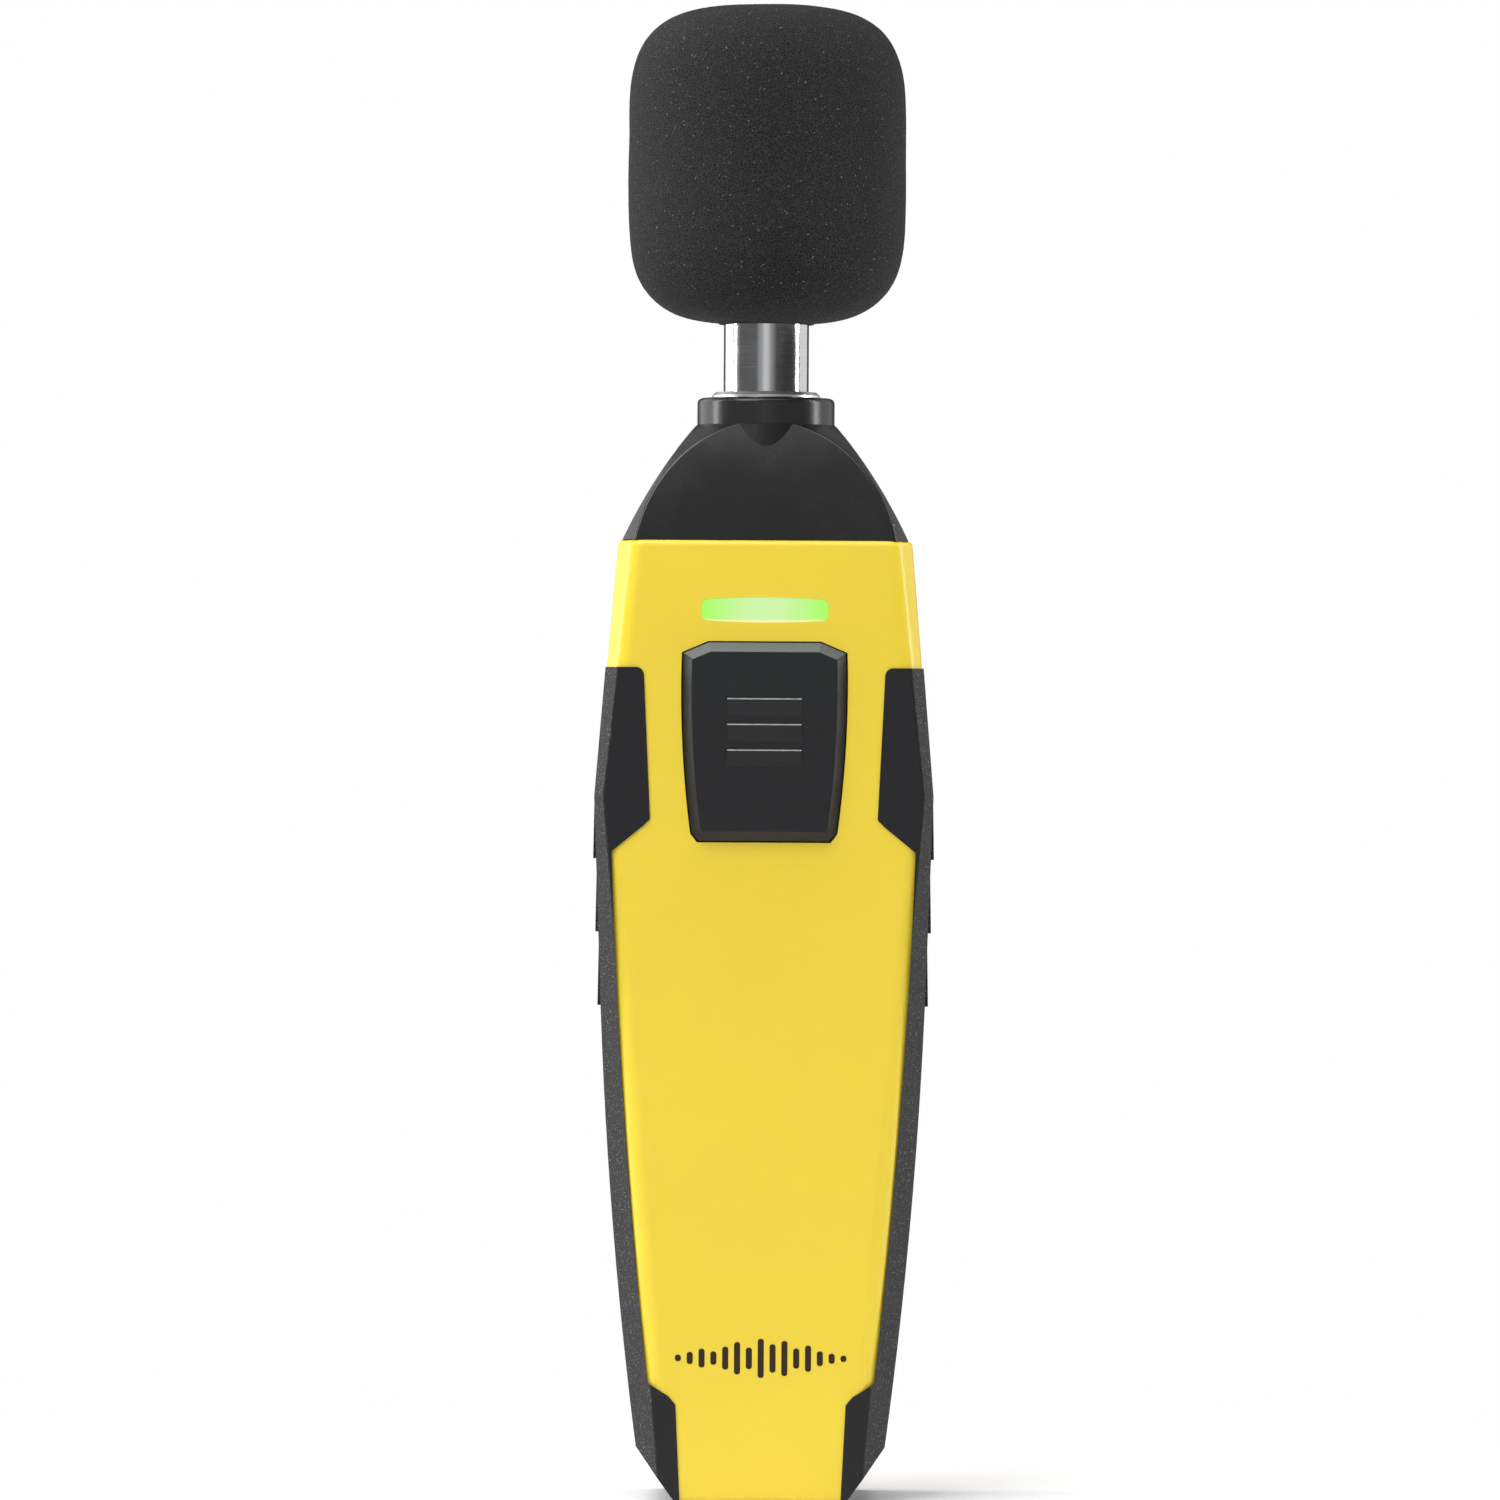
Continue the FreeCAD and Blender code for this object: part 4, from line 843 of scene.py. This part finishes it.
@dataclass
class Windscreen:
    """The ball of open-cell foam over the microphone, with its bore."""

    bore_mm: float = 6.45
    lip_mm: float = 0.8
    width_power: float = 3.2
    height_power: float = 4.5
    around: int = 360
    skin_mm: float = 0.045
    pore_mm: float = 0.75
    inset_mm: float = 0.12
    outline_steps: int = 150
    row_share: float = 0.47
    swell: float = 0.12
    swells_per_m: float = 140.0
    grid_gap_mm: float = 0.4

    def outline(self, radius: float, low: float, high: float) -> list[Vector]:
        """The foam's profile, from the middle of its top down to its bore.

        Args:
            radius: Its largest radius.
            low: The height of its bottom.
            high: The height of its top.

        Returns:
            The profile's points, in metres, in the plane of X and Z.
        """
        middle, half = (low + high) / 2, (high - low) / 2
        points = []
        for step in range(self.outline_steps + 1):
            angle = math.pi * step / self.outline_steps
            across, up = math.sin(angle), math.cos(angle)
            x = radius * abs(across) ** (2 / self.width_power)
            z = middle + half * math.copysign(abs(up) ** (2 / self.height_power), up)
            points.append(Vector((x, 0.0, z)))
        bore, lip = self.bore_mm * MM, self.lip_mm * MM
        outside = [p for p in points if p.z > middle or p.x > bore + lip]
        return self.even(outside) + self.bore(low)

    def even(self, points: Sequence[Vector]) -> list[Vector]:
        """Space points evenly along their line.

        Args:
            points: The line's points.

        Returns:
            Points about half a pore apart.
        """
        lengths = [0.0]
        for before, after in zip(points, points[1:]):
            lengths.append(lengths[-1] + (after - before).length)
        count = int(lengths[-1] / (self.pore_mm * MM * self.row_share))
        spaced, index = [], 0
        for step in range(count + 1):
            target = lengths[-1] * step / count
            while index < len(points) - 2 and lengths[index + 1] < target:
                index += 1
            share = (target - lengths[index]) / (lengths[index + 1] - lengths[index])
            spaced.append(points[index].lerp(points[index + 1], share))
        return spaced

    def bore(self, low: float) -> list[Vector]:
        """The profile of the rounded lip and the blind bore.

        Args:
            low: The height of the foam's bottom.

        Returns:
            The profile's points up to the middle of the bore's end.
        """
        bore, lip = self.bore_mm * MM, self.lip_mm * MM
        turn = [Vector((bore + lip - lip * math.sin(a), 0.0, low + lip - lip * math.cos(a)))
                for a in (math.radians(15 * k) for k in range(1, 7))]
        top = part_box("protection_grid")[1].z + self.grid_gap_mm * MM
        wall = [Vector((bore, 0.0, low + lip + (top - low - lip) * k / 12)) for k in range(1, 13)]
        return turn + wall + [Vector((bore * k / 4, 0.0, top)) for k in (3, 2, 1, 0)]

    def build(self) -> bpy.types.Object:
        """Spin the profile and roughen its skin with pores.

        Returns:
            The foam.
        """
        low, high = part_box("foam_windscreen")
        radius = high.x - self.inset_mm * MM
        profile = self.outline(radius, low.z, high.z - self.inset_mm * MM)
        mesh = bmesh.new()
        line = [mesh.verts.new(point) for point in profile]
        edges = [mesh.edges.new(pair) for pair in zip(line, line[1:])]
        bmesh.ops.spin(mesh, geom=line + edges, cent=(0, 0, 0), axis=(0, 0, 1), dvec=(0, 0, 0),
                       angle=math.tau, steps=self.around, use_merge=True, use_duplicate=False)
        bmesh.ops.remove_doubles(mesh, verts=mesh.verts, dist=0.002 * MM)
        bmesh.ops.recalc_face_normals(mesh, faces=mesh.faces)
        mesh.normal_update()
        self.roughen(mesh, low.z)
        for face in mesh.faces:
            face.smooth = True
        made = piece_from(mesh, "windscreen_foam", OpenCellFoam().make(), Body.WINDSCREEN,
                          ["foam_windscreen"])
        return made

    def roughen(self, mesh: bmesh.types.BMesh, low: float) -> None:
        """Push pores into the outside of the foam.

        Args:
            mesh: The foam.
            low: The height of its bottom; not used.
        """
        bore = (self.bore_mm + self.lip_mm) * MM
        bore_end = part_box("protection_grid")[1].z + MM
        pore = 1 / (self.pore_mm * MM)
        moves = []
        for vert in mesh.verts:
            across = math.hypot(vert.co.x, vert.co.y)
            if across < bore and vert.co.z < bore_end:
                continue
            near = noise.voronoi(vert.co * pore)[0]
            pit = min(1.0, near[1] - near[0])
            soft = noise.noise(vert.co * self.swells_per_m)
            depth = -self.skin_mm * (1 - pit) + self.swell * soft
            moves.append((vert, vert.normal * depth * MM))
        for vert, move in moves:
            vert.co += move


@dataclass
class PowerButton:
    """The power button, with the switch under it."""

    rubber: ButtonRubber = ButtonRubber()

    def dress(self) -> None:
        """Give the button's and the switch's nodes their finishes."""
        dress("power_button", self.rubber.make())
        dress("switch_housing", MouldedPlastic("switch_case", (0.02, 0.02, 0.02), 0.5).make())
        dress("switch_plunger", MouldedPlastic("switch_key", (0.35, 0.05, 0.02), 0.45).make())


@dataclass
class LightBar:
    """The status light: the guide in the front and the lights behind it."""

    def dress(self) -> None:
        """Give the light's nodes their finishes."""
        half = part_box("status_light_guide")[1].x / MM - 1.0
        dress("status_light_guide", LitGuide(half_mm=half).make())
        dress("status_leds", LitGuide("led_lens_lit", half_mm=half, strength=1.5).make())


@dataclass
class Electronics:
    """The circuit board and what is soldered to it."""

    def dress(self) -> None:
        """Give the board's nodes their finishes."""
        mask = SolderMask().make()
        dress("circuit_board", mask)
        dress("radio_module", mask)
        dress("radio_shield", WorkedMetal("tinned_shield", (0.72, 0.72, 0.70), 0.35).make())
        epoxy = MouldedPlastic("chip_resin", (0.012, 0.012, 0.013), 0.55, grain_mm=0.15).make()
        dress("microcontroller", epoxy)
        dress("amplifier_chip", epoxy)
        dress("board_capacitors", WorkedMetal("capacitor_cans", (0.70, 0.70, 0.73), 0.22).make())
        dress("lead_socket", MouldedPlastic("socket_nylon", (0.72, 0.69, 0.58), 0.45).make())
        wires = WireJacket().make()
        dress("capsule_leads", wires)
        dress("battery_leads", wires)
        steel = WorkedMetal("black_screw_steel", (0.16, 0.16, 0.17), 0.3).make()
        for node in ("board_screws", "shell_screws", "cover_screw"):
            dress(node, steel)


@dataclass
class BatteryBay:
    """The three cells, their springs and contacts, and the cushion in the cover."""

    cells: tuple[str, ...] = ("battery_1", "battery_2", "battery_3")
    inverted: str = "battery_2"

    def dress(self) -> None:
        """Give the bay's nodes their finishes."""
        for node in self.cells:
            low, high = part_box(node)
            jacket = CellJacket(node + "_jacket", low.z / MM, high.z / MM, node != self.inverted)
            dress(node, jacket.make())
        spring = WorkedMetal("nickel_spring", (0.72, 0.71, 0.67), 0.25).make()
        dress("battery_springs", spring)
        dress("battery_contacts", spring)
        dress("cover_cushion", OpenCellFoam("cushion_foam_grey", 0.3, (0.02, 0.02, 0.02),
                                            (0.07, 0.07, 0.07), (0.12, 0.12, 0.12)).make())
        dress("rating_label", LabelFilm().make())


# ------------------------------------------------------------------ studio


@dataclass(frozen=True)
class Softbox:
    """One soft light: where it hangs, its width and height in metres, and its power in watts."""

    name: str
    place: tuple[float, float, float]
    size: tuple[float, float]
    power: float


@dataclass
class Studio:
    """The pale floor, the soft lights and the camera."""

    view_height: float = 0.1115
    view_shift: float = -0.0021
    view_width: float = 0.2241
    view_roll: float = -0.33
    distance: float = 1.6
    sensor: float = 36.0
    floor_half: float = 3.0
    floor_reach: float = 0.22
    right_share: float = 0.35
    sky_shades: tuple[tuple[float, float], ...] = (
        (-1.0, 0.70), (-0.975, 0.38), (-0.88, 0.12), (-0.30, 0.12), (0.1, 0.45), (0.75, 0.45),
        (0.97, 0.04))
    target: tuple[float, float, float] = (0.0, 0.0, 0.12)
    softboxes: tuple[Softbox, ...] = (
        Softbox("key_softbox", (-0.55, -0.78, 1.1), (0.8, 0.8), 10.8),
        Softbox("top_softbox", (-0.15, -0.32, 1.3), (1.5, 0.8), 13.0),
        Softbox("left_panel", (-0.9, 0.6, 0.3), (0.8, 1.2), 4.4),
        Softbox("right_panel", (0.9, 0.6, 0.3), (0.8, 1.2), 2.0),
        Softbox("left_strip", (-1.0, 0.06, 0.25), (0.14, 1.0), 6.5),
        Softbox("right_strip", (1.0, 0.06, 0.25), (0.14, 1.0), 6.0),
    )

    def floor(self) -> None:
        """Lay the pale floor."""
        mesh = bmesh.new()
        bmesh.ops.create_grid(mesh, x_segments=8, y_segments=8, size=self.floor_half)
        data = bpy.data.meshes.new("studio_floor")
        mesh.to_mesh(data)
        mesh.free()
        shader = Shader("pale_floor")
        shade = shader.ramp(shader.noise(400.0, 2.0), [(0.3, (0.88, 0.88, 0.88)),
                                                        (0.7, (0.92, 0.92, 0.92))])
        away = shader.node("ShaderNodeVectorMath", Vector=shader.place)
        away.operation = "LENGTH"
        far = shader.between(away.outputs["Value"], 0.05, self.floor_reach)
        shade = shader.mix(far, shade, (0.0, 0.0, 0.0))
        data.materials.append(shader.finish(
            Base_Color=shade, Roughness=0.9, Specular_IOR_Level=0.0,
            Emission_Color=(1.0, 1.0, 1.0), Emission_Strength=far))
        made = bpy.data.objects.new("studio_floor", data)
        bpy.context.scene.collection.objects.link(made)

    def hang(self, softbox: Softbox) -> None:
        """Hang one soft light, turned to the object.

        Args:
            softbox: The light.
        """
        data = bpy.data.lights.new(softbox.name, "AREA")
        data.shape = "RECTANGLE"
        data.size, data.size_y = softbox.size
        data.energy = softbox.power
        made = bpy.data.objects.new(softbox.name, data)
        made.location = softbox.place
        toward = Vector(self.target) - Vector(softbox.place)
        made.rotation_euler = toward.to_track_quat("-Z", "Y").to_euler()
        bpy.context.scene.collection.objects.link(made)

    def sky(self) -> None:
        """Make a sky that is seen as white, dim in front of the object and bright beside it."""
        world = bpy.data.worlds.new("studio_sky")
        world.use_nodes = True
        nodes, links = world.node_tree.nodes, world.node_tree.links
        back = nodes["Background"]
        place = nodes.new("ShaderNodeTexCoord")
        split = nodes.new("ShaderNodeSeparateXYZ")
        links.new(place.outputs["Generated"], split.inputs[0])
        toward = nodes.new("ShaderNodeMapRange")
        toward.inputs["From Min"].default_value = -1.0
        links.new(split.outputs["Y"], toward.inputs["Value"])
        ramp = nodes.new("ShaderNodeValToRGB")
        ramp.color_ramp.interpolation = "EASE"
        elements = ramp.color_ramp.elements
        while len(elements) < len(self.sky_shades):
            elements.new(1.0)
        for element, (height, shade) in zip(elements, self.sky_shades):
            element.position = (height + 1) / 2
            element.color = (shade, shade, shade, 1.0)
        links.new(toward.outputs[0], ramp.inputs["Fac"])
        rays = nodes.new("ShaderNodeLightPath")
        seen = nodes.new("ShaderNodeMix")
        seen.data_type = "FLOAT"
        links.new(rays.outputs["Is Camera Ray"], seen.inputs[0])
        beside = nodes.new("ShaderNodeMapRange")
        for name, value in (("From Min", 0.0), ("From Max", 0.8), ("To Min", 1.0),
                            ("To Max", self.right_share)):
            beside.inputs[name].default_value = value
        links.new(split.outputs["X"], beside.inputs["Value"])
        shaded = nodes.new("ShaderNodeMath")
        shaded.operation = "MULTIPLY"
        links.new(ramp.outputs["Color"], shaded.inputs[0])
        links.new(beside.outputs[0], shaded.inputs[1])
        links.new(shaded.outputs[0], seen.inputs[2])
        seen.inputs[3].default_value = 1.0
        back.inputs["Color"].default_value = (1.0, 1.0, 1.0, 1.0)
        links.new(seen.outputs[0], back.inputs["Strength"])
        bpy.context.scene.world = world

    def camera(self) -> None:
        """Place the camera in front, with a long lens and a very slight tilt."""
        data = bpy.data.cameras.new("front_camera")
        data.sensor_width = self.sensor
        data.lens = self.sensor * self.distance / self.view_width
        data.clip_end = 20.0
        made = bpy.data.objects.new("front_camera", data)
        made.location = (self.view_shift, -self.distance, self.view_height)
        made.rotation_euler = (math.radians(90), math.radians(self.view_roll), 0.0)
        bpy.context.scene.collection.objects.link(made)
        bpy.context.scene.camera = made

    def build(self) -> None:
        """Set up the whole studio, with colours shown as they are."""
        bpy.context.scene.view_settings.view_transform = "Standard"
        self.camera()
        self.floor()
        for softbox in self.softboxes:
            self.hang(softbox)
        self.sky()


def main() -> None:
    """Build every piece in order and report it."""
    logging.basicConfig(level=logging.INFO, format="%(name)s: %(message)s")
    Studio().build()
    CaseShells().dress()
    LevelMark().build()
    Microphone().dress()
    Windscreen().build()
    PowerButton().dress()
    LightBar().dress()
    Electronics().dress()
    BatteryBay().dress()


if __name__ == "__main__":
    main()
